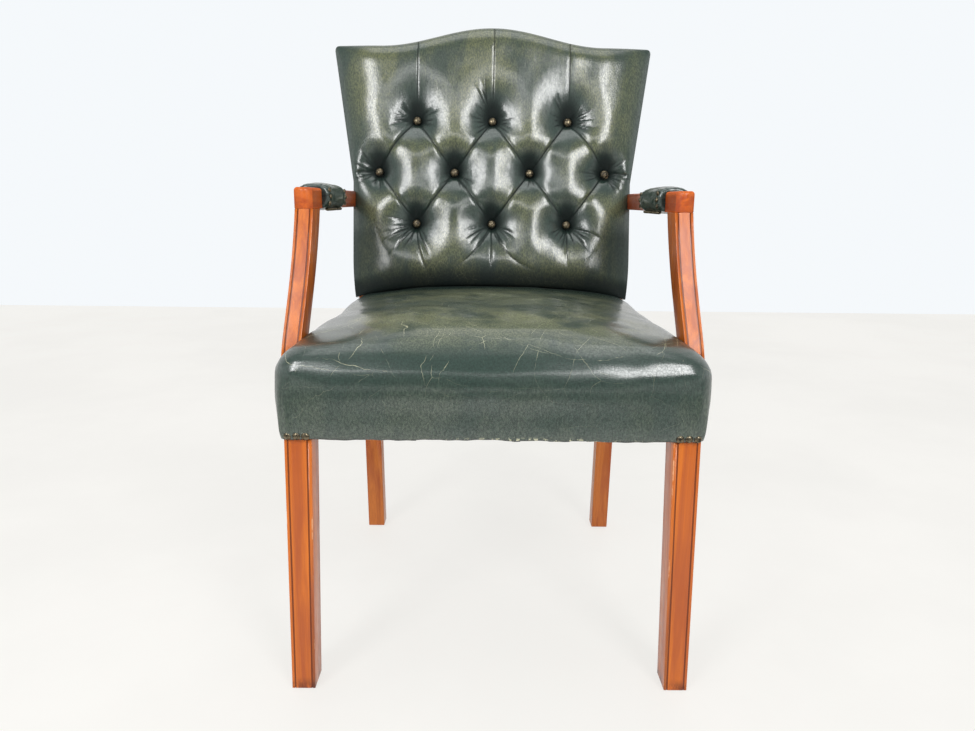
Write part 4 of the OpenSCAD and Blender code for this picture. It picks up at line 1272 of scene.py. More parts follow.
@dataclass
class TuftedBack:
    """The buttoned leather of the back.

    Its sizes are those of the frame's own back, whose form it follows more fully. The bowls
    are what the buttons draw into the padding, the roll is the round along the edges, and
    the fall is how far the face goes back towards the sides.
    """

    half: float = 269.0
    flare: float = 0.142
    flare_up: float = 276.0
    waist_up: float = 130.0
    waist_fall: float = 4.0
    waist_step: float = 70.0
    shoulder: float = 534.0
    camel_rise: float = 35.0
    camel_half: float = 215.0
    pad_low: float = 36.7
    pad_up: float = 45.0
    pad_taper: float = 0.015
    roll_depth: float = 20.0
    roll_width: float = 46.0
    foot_roll: float = 62.0
    roll_give: float = 0.85
    middle_row: float = 293.6
    row_step: float = 98.3
    button_step: float = 145.0
    button_sink: float = 17.5
    button_radius: float = 8.0
    bowl: float = 84.0
    bowl_power: float = 1.8
    bowl_reach: tuple[Range, ...] = ((0.86, 0.92), (0.88, 0.88), (1.3, 0.86))
    bowl_end: float = 44.0
    spare: float = 4.0
    side_roll: float = 90.0
    side_fall: float = 21.0
    edge_round: float = 12.0
    corner_round: float = 10.0
    foot_gap: float = 1.5
    foot_sink: float = 5.0
    rear: float = 30.4
    rear_up: float = 290.0
    wall_steps: int = 14
    wall_bulge: Range = (1.6, 0.5)
    fine: int = 44
    seed: int = 11

    def __post_init__(self) -> None:
        """Sets out the buttons and the folds."""
        step = self.button_step
        self.rows = [
            [(step * i, self.middle_row - self.row_step) for i in (-1, 0, 1)],
            [(step * i, self.middle_row) for i in (-1.5, -0.5, 0.5, 1.5)],
            [(step * i, self.middle_row + self.row_step) for i in (-1, 0, 1)]]
        self.folds = self.pleats() + self.long_creases()
        draw = np.random.default_rng(self.seed)
        for row, fans in zip(self.rows, FANS):
            for button, spread in zip(row, fans):
                for fan in spread:
                    self.folds += fan.folds(*button, draw)

    def pleats(self) -> list[Fold]:
        """Folds the pleats from button to button and from the buttons to the edges.

        Returns:
            The pleats.
        """
        between = {"depth": 4.6, "steep": 2.4, "soft": 6.5, "dark": 1.0, "line": 1.7, "fade": 1.0}
        upright = {"depth": 1.0, "steep": 1.4, "soft": -2.6, "dark": 0.95, "line": 1.25, "fade": 1.0}
        sideways = {"depth": 3.6, "steep": 2.0, "dark": 0.95, "line": 1.6, "fade": 0.72}
        made = []
        for lower, upper in zip(self.rows[:-1], self.rows[1:]):
            for a, b in product(lower, upper):
                if abs(abs(a[0] - b[0]) - self.button_step / 2) < 1:
                    made.append(Fold(a, self.bowed(a, b), b, **between))
        for x, up in self.rows[2]:
            made.append(Fold((x, up), (x + 1.5, up + 60), (x + 3, 600), **upright))
        for x, up in (self.rows[1][0], self.rows[1][-1]):
            out = math.copysign(1.0, x)
            made.append(Fold((x, up), (x + out * 26, up + 5), (x + out * 52, up - 3), soft=8.0 * out,
                             **sideways))
        return made

    def bowed(self, lower: Spot, upper: Spot) -> Spot:
        """Bends a pleat; the upper outer pleats bend most.

        Args:
            lower: The lower button.
            upper: The upper button.

        Returns:
            The point that the pleat bends towards.
        """
        outer = max(abs(lower[0]), abs(upper[0])) > 1.4 * self.button_step
        bow = 9.0 if outer and upper[1] > self.middle_row + 1 else 1.5
        return (0.5 * (lower[0] + upper[0]) * (1 + bow / 170), 0.5 * (lower[1] + upper[1]) + 0.7 * bow)

    def long_creases(self) -> list[Fold]:
        """Draws the long curved creases under the lowest buttons.

        Returns:
            The creases.
        """
        look = {"steep": 1.5, "dark": 0.9, "line": 1.3, "fade": 0.55}
        soft, drop = 7.0, 6.0
        left, middle, right = self.rows[0]
        # Button, point that the crease bends towards and its end from the button, and depth
        ways = (
            (left, (1, -62), (38, -118), 2.6), (left, (-30, -12), (-72, -42), 2.0),
            (left, (-22, -26), (-58, -70), 1.8), (left, (14, -40), (34, -74), 1.3),
            (middle, (1, -40), (0, -108), 2.4), (middle, (-26, -62), (-88, -92), 1.8),
            (middle, (26, -78), (112, -96), 2.0), (right, (0, -40), (3, -92), 1.5),
            (right, (38, -6), (74, -32), 2.0), (right, (26, -20), (50, -66), 1.5))
        return [Fold((x, up - drop), (x + bend[0], up + bend[1]), (x + end[0], up + end[1]), depth,
                     soft=soft if end[0] > 0 else -soft, **look)
                for (x, up), bend, end, depth in ways]

    def half_width(self, up: Array) -> Array:
        """Half the back's width at a height."""
        waist = self.waist_fall * (np.maximum(0, self.waist_up - up) / self.waist_step) ** 2
        return self.half + self.flare * np.maximum(0, up - self.flare_up) - waist

    def top(self, x: Array) -> Array:
        """The camel-backed top edge."""
        share = np.minimum(np.abs(x) / self.camel_half, 1)
        return self.shoulder + self.camel_rise * (1 + np.cos(math.pi * share)) / 2

    def foot(self, x: Array) -> Array:
        """The lower edge, just over the seat.

        Args:
            x: Distances across.

        Returns:
            The edge's heights.
        """
        seat = SeatCushion()
        height = seat.top(x, np.full(np.shape(x), seat.rear_y)) + self.foot_gap - self.foot_sink
        return (height - SETTING.knee_z) / math.cos(math.radians(SETTING.rake))

    def roll(self, x: Array, up: Array) -> Array:
        """How far the face falls away towards the edges.

        Args:
            x: Distances across.
            up: Heights.

        Returns:
            The fall at each place.
        """
        in_from_side = self.half_width(up) - np.abs(x)
        a = 1 - np.clip(in_from_side / self.edge_round, 0, 1)
        b = 1 - np.clip((self.top(x) - up) / self.roll_width, 0, 1)
        c = 1 - np.clip((up - self.foot(x)) / self.foot_roll, 0, 1)
        edge = np.sqrt(a ** 4 + b ** 6 + c ** 6)
        fall = self.side_fall * np.clip(1 - in_from_side / self.side_roll, 0, 1) ** 2
        rounded = self.roll_depth * (1 - np.sqrt(np.maximum(0, 1 - edge)))
        return fall + rounded * (1 - self.roll_give * np.clip(fall / self.side_fall, 0, 1))

    def bowls(self, x: Array, up: Array) -> Array:
        """Depth of the bowls that the buttons draw.

        Args:
            x: Distances across.
            up: Heights.

        Returns:
            The depth at each place.
        """
        depth = np.zeros(x.shape)
        for row, (higher, lower) in zip(self.rows, self.bowl_reach):
            for bx, bu in row:
                rise = (up - bu) / np.where(up > bu, higher, lower)
                away = (np.hypot(x - bx, rise) - self.button_radius) / (self.bowl - self.button_radius)
                depth += self.button_sink * (1 - np.clip(away, 0, 1)) ** self.bowl_power
        return depth * smooth(self.half_width(up) - np.abs(x), 0, self.bowl_end)

    def face(self, x: Array, up: Array) -> Array:
        """Depth of the leather's face behind the front of the posts."""
        sunk = np.minimum(self.roll(x, up) + self.bowls(x, up), self.roll_depth + self.spare)
        return self.pad_taper * (up - self.pad_up) - self.pad_low + sunk

    def grid(self, fine: int) -> tuple[Array, Array]:
        """Places of the face's points, in rows from the foot up.

        Args:
            fine: Steps from one row of buttons to the next.

        Returns:
            Distance across, and up, for each row and column.
        """
        top_share, first_guess = 1.4, 200.0
        inner = np.arange(-3 * fine, 3 * fine + 1) * self.button_step / 2 / fine
        inner_up = self.middle_row + np.arange(-3 * fine // 2, 3 * fine // 2 + 1) * self.row_step / fine
        rim = np.sin(np.linspace(0, math.pi / 2, fine + 1)[1:])
        low = 1 - np.cos(np.linspace(0, math.pi / 2, fine + 1)[:-1])[:, None]
        high = np.sin(np.linspace(0, math.pi / 2, int(top_share * fine) + 1)[1:])[:, None]
        edge, first, last = inner[-1], inner_up[0], inner_up[-1]

        def across(up: Array) -> Array:
            """Places the points of every row.

            Args:
                up: Their heights.

            Returns:
                Their distances across.
            """
            reach = self.half_width(up) - edge
            out = edge + reach[:, -fine:] * rim
            return np.concatenate([-(edge + reach[:, :fine] * rim[::-1]),
                                   np.broadcast_to(inner, (len(up), inner.size)), out], 1)

        def heights(x: Array) -> Array:
            """Places the points of every column.

            Args:
                x: Their distances across.

            Returns:
                Their heights.
            """
            foot, top = self.foot(x), self.top(x)
            lower = foot[:fine] + low * (first - foot[:fine])
            upper = last + high * (top[-len(high):] - last)
            body = np.broadcast_to(inner_up[:, None], (inner_up.size, x.shape[1]))
            return np.concatenate([lower, body, upper])

        count = (fine + inner_up.size + len(high), inner.size + 2 * fine)
        up = heights(across(heights(np.full(count, first_guess))))
        return across(up), up

    def corners(self, x: Array, up: Array) -> tuple[Array, Array]:
        """Draws the points near the two upper corners in, so that the corners are round.

        Args:
            x: Distances across.
            up: Heights.

        Returns:
            The new distances across, and heights.
        """
        r = self.corner_round
        in_x = np.clip(1 - (self.half_width(up) - np.abs(x)) / r, 0, 1)
        in_up = np.clip(1 - (self.top(x) - up) / r, 0, 1)
        share = np.maximum(in_x, in_up) / np.maximum(np.hypot(in_x, in_up), 1e-9)
        share = np.where((in_x > 0) & (in_up > 0), share, 1.0)
        return x - np.sign(x) * r * in_x * (1 - share), up - r * in_up * (1 - share)

    def build(self, material: Material) -> Piece:
        """Makes the leather of the back.

        Args:
            material: Its leather.

        Returns:
            The piece.
        """
        x, up = self.corners(*self.grid(self.fine))
        depth, dark = self.face(x, up), np.zeros(x.shape)
        for fold_and_shade in self.folds:
            fold_and_shade.press(x, up, depth, dark)
        flat = np.stack([x.ravel(), up.ravel()], 1)
        inside = 1 - np.clip(self.roll(x, up) / self.roll_depth, 0, 1)
        depth += inside * (0.30 * ripple(flat, 60.0, self.seed)
                           + 0.03 * ripple(flat * np.array([1, 0.5]), 12.0, self.seed + 1)).reshape(x.shape)
        piece = self.closed(x, up, depth)
        self.colour_values(piece, x, up, dark)
        own(piece, material, ["back_cover", "back_foam"])
        return piece

    def closed(self, x: Array, up: Array, depth: Array) -> Piece:
        """Joins the face, the sides and the rear into one closed piece.

        Args:
            x: Distances across of the face's points, in rows.
            up: Their heights.
            depth: Their depths.

        Returns:
            The piece.
        """
        rows, columns = x.shape
        rim = rim_of(rows, columns)
        face = SETTING.on_back(x.ravel(), depth.ravel(), up.ravel())
        rx, ru, rd = x.ravel()[rim], up.ravel()[rim], depth.ravel()[rim]
        out_x = np.sign(rx) * (np.abs(rx) > 0.93 * self.half_width(ru))
        bulge, uneven = self.wall_bulge
        swell = 60.0
        walls = []
        for k in range(1, self.wall_steps + 1):
            t = k / self.wall_steps
            flat = np.stack([ru, np.full(ru.shape, t * swell)], 1)
            wave = uneven * ripple(flat, swell, self.seed + 2)
            out = out_x * (bulge + wave) * math.sin(math.pi * t)
            walls.append(SETTING.on_back(rx + out, rd + t * (self.rear - rd), ru))
        middle = SETTING.on_back(np.zeros(1), np.full(1, self.rear), np.full(1, self.rear_up))
        points = np.concatenate([face, *walls, middle])
        faces: list[tuple] = grid_faces(rows, columns)
        count = len(rim)
        rings = [rim] + [len(face) + k * count + np.arange(count) for k in range(self.wall_steps)]
        for a, b in zip(rings[:-1], rings[1:]):
            faces += [(a[(i + 1) % count], a[i], b[i], b[(i + 1) % count]) for i in range(count)]
        last = rings[-1]
        faces += [(last[(i + 1) % count], last[i], len(points) - 1) for i in range(count)]
        piece = new_piece("back_leather", points, faces)
        face_out(piece)
        return piece

    def colour_values(self, piece: Piece, x: Array, up: Array, dark: Array) -> None:
        """Stores where the leather is rubbed, and its painted shade: in the folds, along the foot, beside the
        lower sides, round the buttons and on the walls and rear.

        Args:
            piece: The piece.
            x: Distances across of the face's points.
            up: Their heights.
            dark: How dark the painted shade of the folds makes them.
        """
        darkest, side_shade_share, rear_shade = 0.97, 0.55, 0.1
        # Painted shade along the foot, beside the lower sides, and a little on the walls and rear
        foot_shade = smooth(self.foot(x) + 66 - up, 0, 52)
        side_shade = smooth(self.half_width(up) - np.abs(x), 92, 50) * smooth(up, 215, 165)
        fold_and_shade = np.maximum(dark, np.maximum(darkest * foot_shade, side_shade_share * side_shade))
        # Painted shade round each button, reaching further above it than below
        for bx, bu in sum(self.rows, []):
            near = smooth(np.hypot(x - bx, (up - bu) / np.where(up > bu, 2.1, 0.6)), 33.0, 10.0)
            fold_and_shade = np.maximum(fold_and_shade, darkest * near)
        rub = smooth(self.bowls(x, up), 8.0, 0.5) * smooth(self.roll(x, up), 22.0, 2.0)
        for name, values, rest in (("fold_and_shade", fold_and_shade, rear_shade), ("rub", rub, 0.0)):
            whole = np.full(len(piece.data.vertices), rest)
            whole[:x.size] = values.ravel()
            write_value(piece, name, whole)


# The seat


@dataclass
class SeatCushion:
    """The leather of the seat, drawn over its foam and rails.

    Its sizes are those of the frame's own seat, whose form it follows more finely.
    """

    half_front: float = 287.0
    half_rear: float = 262.0
    rear_y: float = 503.5
    swell: float = 12.0
    bow: float = 2.0
    edge_z: float = 500.0
    crown: float = 28.0
    rise_y: float = 158.0
    middle_y: float = 245.0
    foot_z: float = 378.0
    tight_corner: float = 9.0
    soft_corner: float = 30.0
    rear_corner: float = 8.0
    roll_z: float = 463.0
    roll_in: float = 40.0
    bulge: float = 3.5
    post_y: tuple[float, float] = (63.0, 109.0)
    post_foot_z: float = 392.6
    pocket_x: float = 266.8
    voxel: float = 6.0
    seed: int = 5

    def half(self, y: Array) -> Array:
        """Half the seat's width at a depth."""
        return self.half_front - (self.half_front - self.half_rear) * np.clip(y / self.rear_y, 0, 1)

    def top(self, x: Array, y: Array) -> Array:
        """Height of the seat's top.

        Args:
            x: Distances across.
            y: Distances along.

        Returns:
            The height at each place.
        """
        across = 1 - np.minimum(np.abs(x) / self.half_front, 1) ** 2.6
        along = 1 - (np.maximum(0, self.rise_y - y) / 170.0) ** 2
        return self.edge_z + self.crown * across * along

    def front(self, x: Array) -> Array:
        """The seat's front, which bows forward a little."""
        return -self.swell + self.bow * (np.abs(x) / self.half_front) ** 2

    def outline(self, softness: float) -> Array:
        """The seat's outline, counter-clockwise from the middle of its front.

        Args:
            softness: 0 for the tight corners over the legs, 1 for the soft ones of the crown.

        Returns:
            Points across and along, one a row.
        """
        r = self.tight_corner + (self.soft_corner - self.tight_corner) * softness
        xf = self.half_front - r
        yf = float(self.front(xf))
        xr = self.half_rear - self.rear_corner
        x = np.linspace(0, xf, 60)[:-1]
        a = np.linspace(0, math.pi / 2, 14)
        y = np.linspace(yf + r, self.rear_y - self.rear_corner, 90)[1:]
        b = np.linspace(0, math.pi / 2, 6)[1:]
        right = np.concatenate([
            np.stack([x, self.front(x)], 1),
            np.stack([xf + r * np.sin(a), yf + r * (1 - np.cos(a))], 1),
            np.stack([self.half(y), y], 1),
            np.stack([xr + self.rear_corner * np.cos(b),
                      self.rear_y - self.rear_corner * (1 - np.sin(b))], 1),
            np.stack([np.linspace(xr, 0, 50)[1:], np.full(49, self.rear_y)], 1)])
        left = right[-2:0:-1] * np.array([-1, 1])
        return np.concatenate([right, left])

    def drawn_in(self, line: Array, across: float, along: float) -> Array:
        """Moves an outline inwards.

        Args:
            line: The outline.
            across: How far it moves in at the sides.
            along: How far it moves in at the front and the rear.

        Returns:
            The new outline.
        """
        behind = line[:, 1] > self.middle_y
        deep = max(0.0, along) / 245.0
        fuller = 1 - 0.6 * smooth(line[:, 1], 230, 470) * (1 - deep) * (across > 0)
        x = line[:, 0] * (1 - across * fuller / self.half_front)
        share = np.where(behind, deep ** 2.2, along / (self.middle_y + self.swell))
        y = self.middle_y + (line[:, 1] - self.middle_y) * (1 - share)
        return np.stack([x, y], 1)

    def body(self) -> Piece:
        """Makes the seat as one closed body, before its leather is drawn.

        Returns:
            The body, with points at even distances.
        """
        rings = []
        heights = [self.foot_z, 396, 418, 440, self.roll_z]
        in_across = [3.5, 1.6, -0.6, -2.6, -self.bulge]
        in_along = [5.0, 2.4, 0.6, 0.0, 0.0]
        soft_corners = [0, 0.1, 0.4, 0.7, 1]
        for z in np.linspace(self.foot_z, self.roll_z, 22)[:-1]:
            across = through(z, heights, in_across)
            along = through(z, heights, in_along)
            softness = np.interp(z, heights, soft_corners)
            flat = self.drawn_in(self.outline(float(softness)), float(across), float(along))
            rings.append(np.column_stack([flat, np.full(len(flat), z)]))
        soft = self.outline(1.0)
        for turn in np.linspace(0, math.pi / 2, 20)[:-1]:
            inset = self.roll_in * (1 - math.cos(turn)) - self.bulge
            flat = self.drawn_in(soft, inset, inset + self.bulge * (1 - math.sin(turn)))
            crown = self.top(flat[:, 0], flat[:, 1])
            rings.append(np.column_stack([flat, crown - (crown - self.roll_z) * (1 - math.sin(turn))]))
        for inset in np.linspace(self.roll_in - self.bulge, 235, 44):
            flat = self.drawn_in(soft, inset, inset)
            rings.append(np.column_stack([flat, self.top(flat[:, 0], flat[:, 1])]))
        count = len(soft)
        points = np.concatenate(rings + [np.array([[0, self.middle_y, self.top(0.0, self.middle_y)],
                                                   [0, self.middle_y, self.foot_z]])])
        faces = grid_faces(len(rings), count, around=True)
        last = (len(rings) - 1) * count
        faces += [(last + i, last + (i + 1) % count, len(points) - 2) for i in range(count)]
        faces += [((i + 1) % count, i, len(points) - 1) for i in range(count)]
        piece = new_piece("seat_leather", points, faces)
        face_out(piece)
        remesh = piece.modifiers.new("even", "REMESH")
        remesh.mode = "VOXEL"
        remesh.voxel_size = self.voxel * MM
        bake_modifiers(piece)
        return piece

    def make_room(self, points: Array) -> Array:
        """Draws the leather in beside the arm posts.

        Args:
            points: Its points on the drawing.

        Returns:
            The new points.
        """
        x, y, z = points.T
        gap = np.hypot(np.maximum(0, np.maximum(self.post_y[0] - 1 - y, y - self.post_y[1] - 1)),
                       np.maximum(0, self.post_foot_z - z))
        limit = self.pocket_x - 0.055 * np.maximum(0, z - 476) + 1.9 * gap
        held = np.sign(x) * np.minimum(np.abs(x), limit)
        return np.column_stack([held, y, z])

    def relief(self, points: Array, normals: Array) -> Array:
        """Adds the slack, creases and uneven lower edge of used leather.

        Args:
            points: The leather's points on the drawing.
            normals: Which way it faces at each point.

        Returns:
            The new points.
        """
        x, y, z = points.T
        crown = smooth(z, 470, 505)
        swell = 0.9 * ripple(points, 130, self.seed) + 0.35 * ripple(points, 48, self.seed + 1)
        height = swell * (0.35 + 0.65 * crown)
        front = smooth(-y, -60, 5) * smooth(z, 480, 440)
        height = height + front * 0.45 * ripple(points * np.array([1, 1, 0.25]), 55, self.seed + 3)
        corner = smooth(np.abs(x), self.half_front - 34, self.half_front - 12) * smooth(-y, -30, 2)
        tuck = ripple(np.column_stack([x - y, z * 0.08]), 17, self.seed + 4)
        height = height + corner * smooth(z, 470, 385) * 0.8 * tuck
        moved = points + normals * height[:, None]
        edge = smooth(z, self.foot_z + 6, self.foot_z)
        ragged = ripple(np.column_stack([x, y]), 26, self.seed + 6)
        moved[:, 2] += edge * 0.35 * ragged
        return moved

    def hollow_foot(self, points: Array) -> Array:
        """Lifts the middle of the underside, so that a lip of leather is left round it.

        Args:
            points: The leather's points on the drawing.

        Returns:
            The new points.
        """
        x, y, z = points.T
        inset = np.minimum(np.minimum(self.half(y) - np.abs(x), y - self.front(x)), self.rear_y - y)
        lifted = (z < self.foot_z + 3) & (inset > 8.5)
        return np.column_stack([x, y, np.where(lifted, self.foot_z + 5, z)])

    def build(self, material: Material) -> Piece:
        """Makes the leather of the seat.

        Args:
            material: Its leather.

        Returns:
            The piece.
        """
        piece = self.body()
        start = SETTING.drawing(points_of(piece))
        move_points(piece, SETTING.metres(self.make_room(start)))
        x, y, z = start.T
        held = np.maximum(smooth(z, 440, 395), smooth(y, 440, 490))
        held = np.maximum(held, smooth(np.abs(x), 236, 262) * smooth(y, 30, 50) * smooth(y, 140, 120))
        moves = Swelling(pressure=3.0, shrink=0.0, cap=5.0, even=10).moves(piece, held)
        move_points(piece, points_of(piece) + moves)
        refine(piece)
        points = SETTING.drawing(points_of(piece))
        points = self.relief(points, rows_of(piece.data.vertex_normals, "vector"))
        points = self.hollow_foot(self.make_room(points))
        move_points(piece, SETTING.metres(points))
        shade_smooth(piece.data)
        self.colour_values(piece, points)
        own(piece, material, ["seat_cover", "seat_foam"])
        return piece

    def colour_values(self, piece: Piece, points: Array) -> None:
        """Stores where the leather is rubbed, scuffed, dulled and frayed, and its painted shade at the rear,
        beside the arm posts and along the lower edge.

        Args:
            piece: The piece.
            points: Its points on the drawing.
        """
        x, y, z = points.T
        band = bell(y - 110, 80) + 0.75 * bell(y - 320, 100)
        rub = smooth(z, 488, 508) * band * smooth(np.abs(x), 268, 170)
        rub = np.maximum(rub, 0.12 * smooth(z, 480, 420) * smooth(-y, -20, 0))
        # Painted shade at the rear under the back, beside the arm posts and along the lower edge
        fold_and_shade = smooth(y, 455, 500) * 0.9
        post = np.hypot(np.maximum(0, np.maximum(self.post_y[0] - y, y - self.post_y[1])),
                        np.maximum(0, np.abs(x) * -1 + self.pocket_x - 2))
        fold_and_shade = np.maximum(fold_and_shade, smooth(post, 12, 2) * 0.8)
        fold_and_shade = np.maximum(fold_and_shade, smooth(z, self.foot_z + 4, self.foot_z) * 0.5)
        write_value(piece, "rub", rub)
        write_value(piece, "fold_and_shade", fold_and_shade)
        write_value(piece, "scuff", 0.12 + 0.88 * smooth(z, 452, 492) * smooth(y, 460, 300))
        write_value(piece, "dull", bell(x + 40, 130) * smooth(z, 452, 474) * smooth(y, 45, 15))
        frayed = smooth(z, self.foot_z + 7, self.foot_z + 3) * smooth(-y, -10, 5)
        write_value(piece, "frayed", frayed * bell(x - 55, 95))

    def apron(self, material: Material) -> Piece:
        """Makes the leather behind the seat, down over the rear rail.

        Args:
            material: Its leather.

        Returns:
            The piece.
        """
        half = 223.9
        y0, y1, top, low, thick, bend = 500.0, 537.0, 446.4, 378.0, 2.7, 6.0
        turn = np.linspace(0, math.pi / 2, 7)
        path = [(y0, top)] + [(y1 - bend + bend * math.sin(a), top - bend + bend * math.cos(a)) for a in turn]
        path += [(y1, z) for z in np.linspace(top - bend - 4, low, 16)]
        line = np.array(path)
        ahead = np.gradient(line, axis=0)
        ahead /= np.linalg.norm(ahead, axis=1, keepdims=True)
        inner = line + thick * np.column_stack([ahead[:, 1], -ahead[:, 0]])
        section = np.concatenate([line, inner[::-1]])
        xs = np.linspace(-half, half, 110)
        flat = np.column_stack([np.repeat(xs, len(section)), np.tile(section, (len(xs), 1))])
        wave = 0.35 * ripple(flat, 50, self.seed + 8)
        flat[:, 1] += wave * smooth(flat[:, 1], 528, 534) * (flat[:, 1] < y1 + 0.5)
        faces = grid_faces(len(xs), len(section), around=True)
        n = len(section)
        faces += [tuple(range(n)), tuple(len(flat) - 1 - i for i in range(n))]
        piece = new_piece("seat_apron", flat, faces)
        face_out(piece)
        write_value(piece, "rub", 0.25 * smooth(flat[:, 2], 460, 400))
        # Painted shade on the front part of the top, next to the seat's rear and under the back
        write_value(piece, "fold_and_shade", smooth(flat[:, 1], 528, 515) * 0.7)
        piece.data.set_sharp_from_angle(angle=math.radians(50))
        return own(piece, material, ["seat_cover"])


# Arms


@dataclass
class ArmPad:
    """A leather pad gathered round an arm rail.

    Attributes:
        side: The arm that it is on.
        start: Its front end, behind the front end of the rail.
        length: Its length.
        half_width: Half its width.
        half_height: Half its height.
        middle_z: Height of its middle.
        around: Points round its section.
        seed: Fixes its gathers.
    """

    side: Side
    start: float = 65.0
    length: float = 146.0
    half_width: float = 26.0
    half_height: float = 19.75
    middle_z: float = 693.6
    around: int = 96
    seed: int = 21

    def build(self, material: Material) -> Piece:
        """Makes the pad.

        Args:
            material: Its leather.

        Returns:
            The piece.
        """
        turn = 2 * math.pi * (np.arange(self.around) + 0.5) / self.around
        cos, sin = np.cos(turn), np.sin(turn)
        flat_x = np.sign(cos) * np.abs(cos) ** 0.76
        flat_z = np.sign(sin) * np.abs(sin) ** 0.76
        cap = [(0.0, s) for s in (0.42, 0.5, 0.6, 0.7)]
        ends = [(0.0, 0.78), (0.7, 0.845), (1.5, 0.89), (3, 0.925), (5, 0.955), (8, 0.975), (12, 0.99),
                (20, 0.998)]
        middle = [(float(y), 1.0 + 0.01 * math.sin(math.pi * (y - 20) / (self.length - 40)))
                  for y in np.linspace(24, self.length - 24, 42)]
        stations = cap + ends + middle
        stations += [(self.length - y, s) for y, s in reversed(cap + ends)]
        rings, folds, rubs = [], [], []
        draw = np.random.default_rng(self.seed + self.side.value)
        phase = draw.uniform(0, 2 * math.pi, 4)
        for y, share in stations:
            from_end = min(y, self.length - y)
            gather = smooth(from_end, 26, 4)
            wave = sum(np.sin(k * turn + p) for k, p in zip((17, 23, 11, 29), phase)) / 4
            grow = share * (1 + 0.030 * gather * wave) + 0.004 * np.sin(3 * turn + y / 17)
            rings.append(SETTING.on_arm(self.side, self.half_width * flat_x * grow, self.start + y
                                        + 0 * turn, self.middle_z + self.half_height * flat_z * grow))
            # Painted shade in the troughs of the gathers and on the end caps
            folds.append(np.clip(-wave, 0, 1) * gather * 0.8 + (0.6 if share < 0.78 else 0))
            rubs.append(smooth(flat_z, 0.2, 0.9) * smooth(from_end, 8, 30) * 0.5 + 0 * turn)
        points = np.concatenate(rings)
        count = self.around
        faces = grid_faces(len(rings), count, around=True)
        last = (len(rings) - 1) * count
        faces += [tuple(range(count)), tuple(last + count - 1 - i for i in range(count))]
        piece = new_piece(self.side.of("arm_pad") + "_leather", points, faces)
        write_value(piece, "fold_and_shade", np.concatenate(folds))
        write_value(piece, "rub", np.concatenate(rubs))
        face_out(piece, merge=False)
        held = np.repeat([smooth(min(y, self.length - y), 20, 6) for y, s in stations], count)
        moves = Swelling(pressure=2.0, shrink=-0.01, cap=1.2).moves(piece, held)
        move_points(piece, points_of(piece) + moves)
        refine(piece)
        own(piece, material, [self.side.of("arm_pad"), self.side.of("arm_pad_core")])
        return piece


# Wood


@dataclass
class WoodPiece:
    """A wooden piece of the frame with its sharp edges eased.

    Attributes:
        node: The CAD node that it copies.
        finish: Its material.
        easing: Width of the eased edges.
        outer: Distance of its outer side from the middle of the chair, at a height, or None.
        width: Its width at a height, or None.
    """

    node: str
    finish: Material
    easing: float = 1.0
    outer: Callable[[Array], Array] | None = None
    width: Callable[[Array], Array] | None = None

    def build(self) -> Piece:
        """Makes the piece.

        Returns:
            The piece.
        """
        piece = copy_of(self.node, f"{self.node}_wood")
        mesh = piece.data
        work = bmesh.new()
        work.from_mesh(mesh)
        bmesh.ops.remove_doubles(work, verts=work.verts, dist=DOUBLED)
        bmesh.ops.dissolve_limit(work, angle_limit=math.radians(0.6), verts=work.verts, edges=work.edges)
        sharp = [e for e in work.edges if len(e.link_faces) == 2 and e.calc_face_angle(0) > math.radians(55)
                 and self.on_edge(e)]
        bmesh.ops.bevel(work, geom=sharp, offset=self.easing * MM, segments=3, profile=0.5,
                        affect="EDGES", clamp_overlap=True)
        bmesh.ops.triangulate(work, faces=[f for f in work.faces if len(f.verts) > 4])
        work.to_mesh(mesh)
        work.free()
        shade_smooth(mesh)
        mesh.set_sharp_from_angle(angle=math.radians(35))
        if self.outer:
            x, _, z = SETTING.drawing(points_of(piece)).T
            write_value(piece, "from_outer", self.outer(z) - np.abs(x))
            write_value(piece, "from_inner", np.abs(x) - self.outer(z) + self.width(z))
        return own(piece, self.finish, [self.node])

    def on_edge(self, edge: bmesh.types.BMEdge) -> bool:
        """Tells whether an edge is one of the piece's long outer edges or ends.

        Args:
            edge: The edge.

        Returns:
            Whether it is.
        """
        if self.outer is None:
            return edge.calc_length() > 3 * self.easing * MM
        spots = SETTING.drawing(np.array([v.co for v in edge.verts]))
        away = self.outer(spots[:, 2]) - np.abs(spots[:, 0])
        wide = self.width(spots[:, 2])
        return bool(np.all((away < 0.4) | (away > wide - 0.4)))


@dataclass
class Woodwork:
    """All the polished wood that shows."""

    finishes: Finishes
    foot_x: float = 284.3
    top_x: float = 276.6
    foot_width: float = 33.0
    top_width: float = 35.5
    top_z: float = 440.0
    arm_width: float = 26.0
    arm_z: float = 676.0
    arm_lean: float = 0.0515

    def leg_outer(self, z: Array) -> Array:
        """Outer side of a front leg at a height."""
        return self.foot_x + (self.top_x - self.foot_x) * z / self.top_z

    def leg_width(self, z: Array) -> Array:
        """Width of a front leg at a height."""
        return self.foot_width + (self.top_width - self.foot_width) * z / self.top_z

    def arm_outer(self, z: Array) -> Array:
        """Outer side of an arm post at a height."""
        return SETTING.arm_x + self.arm_width / 2 + self.arm_lean * (self.arm_z - z)

    def build(self) -> None:
        """Makes every piece."""
        for side in Side:
            WoodPiece(side.of("front_leg"), self.finishes.legs, 1.2, self.leg_outer, self.leg_width).build()
            WoodPiece(side.of("arm_post"), self.finishes.legs, 1.4, self.arm_outer,
                      lambda z: np.full(np.shape(z), self.arm_width)).build()
            WoodPiece(side.of("back_post"), self.finishes.posts, 1.2).build()
            WoodPiece(side.of("arm_rail"), self.finishes.arms, 0.8).build()


# Sheets


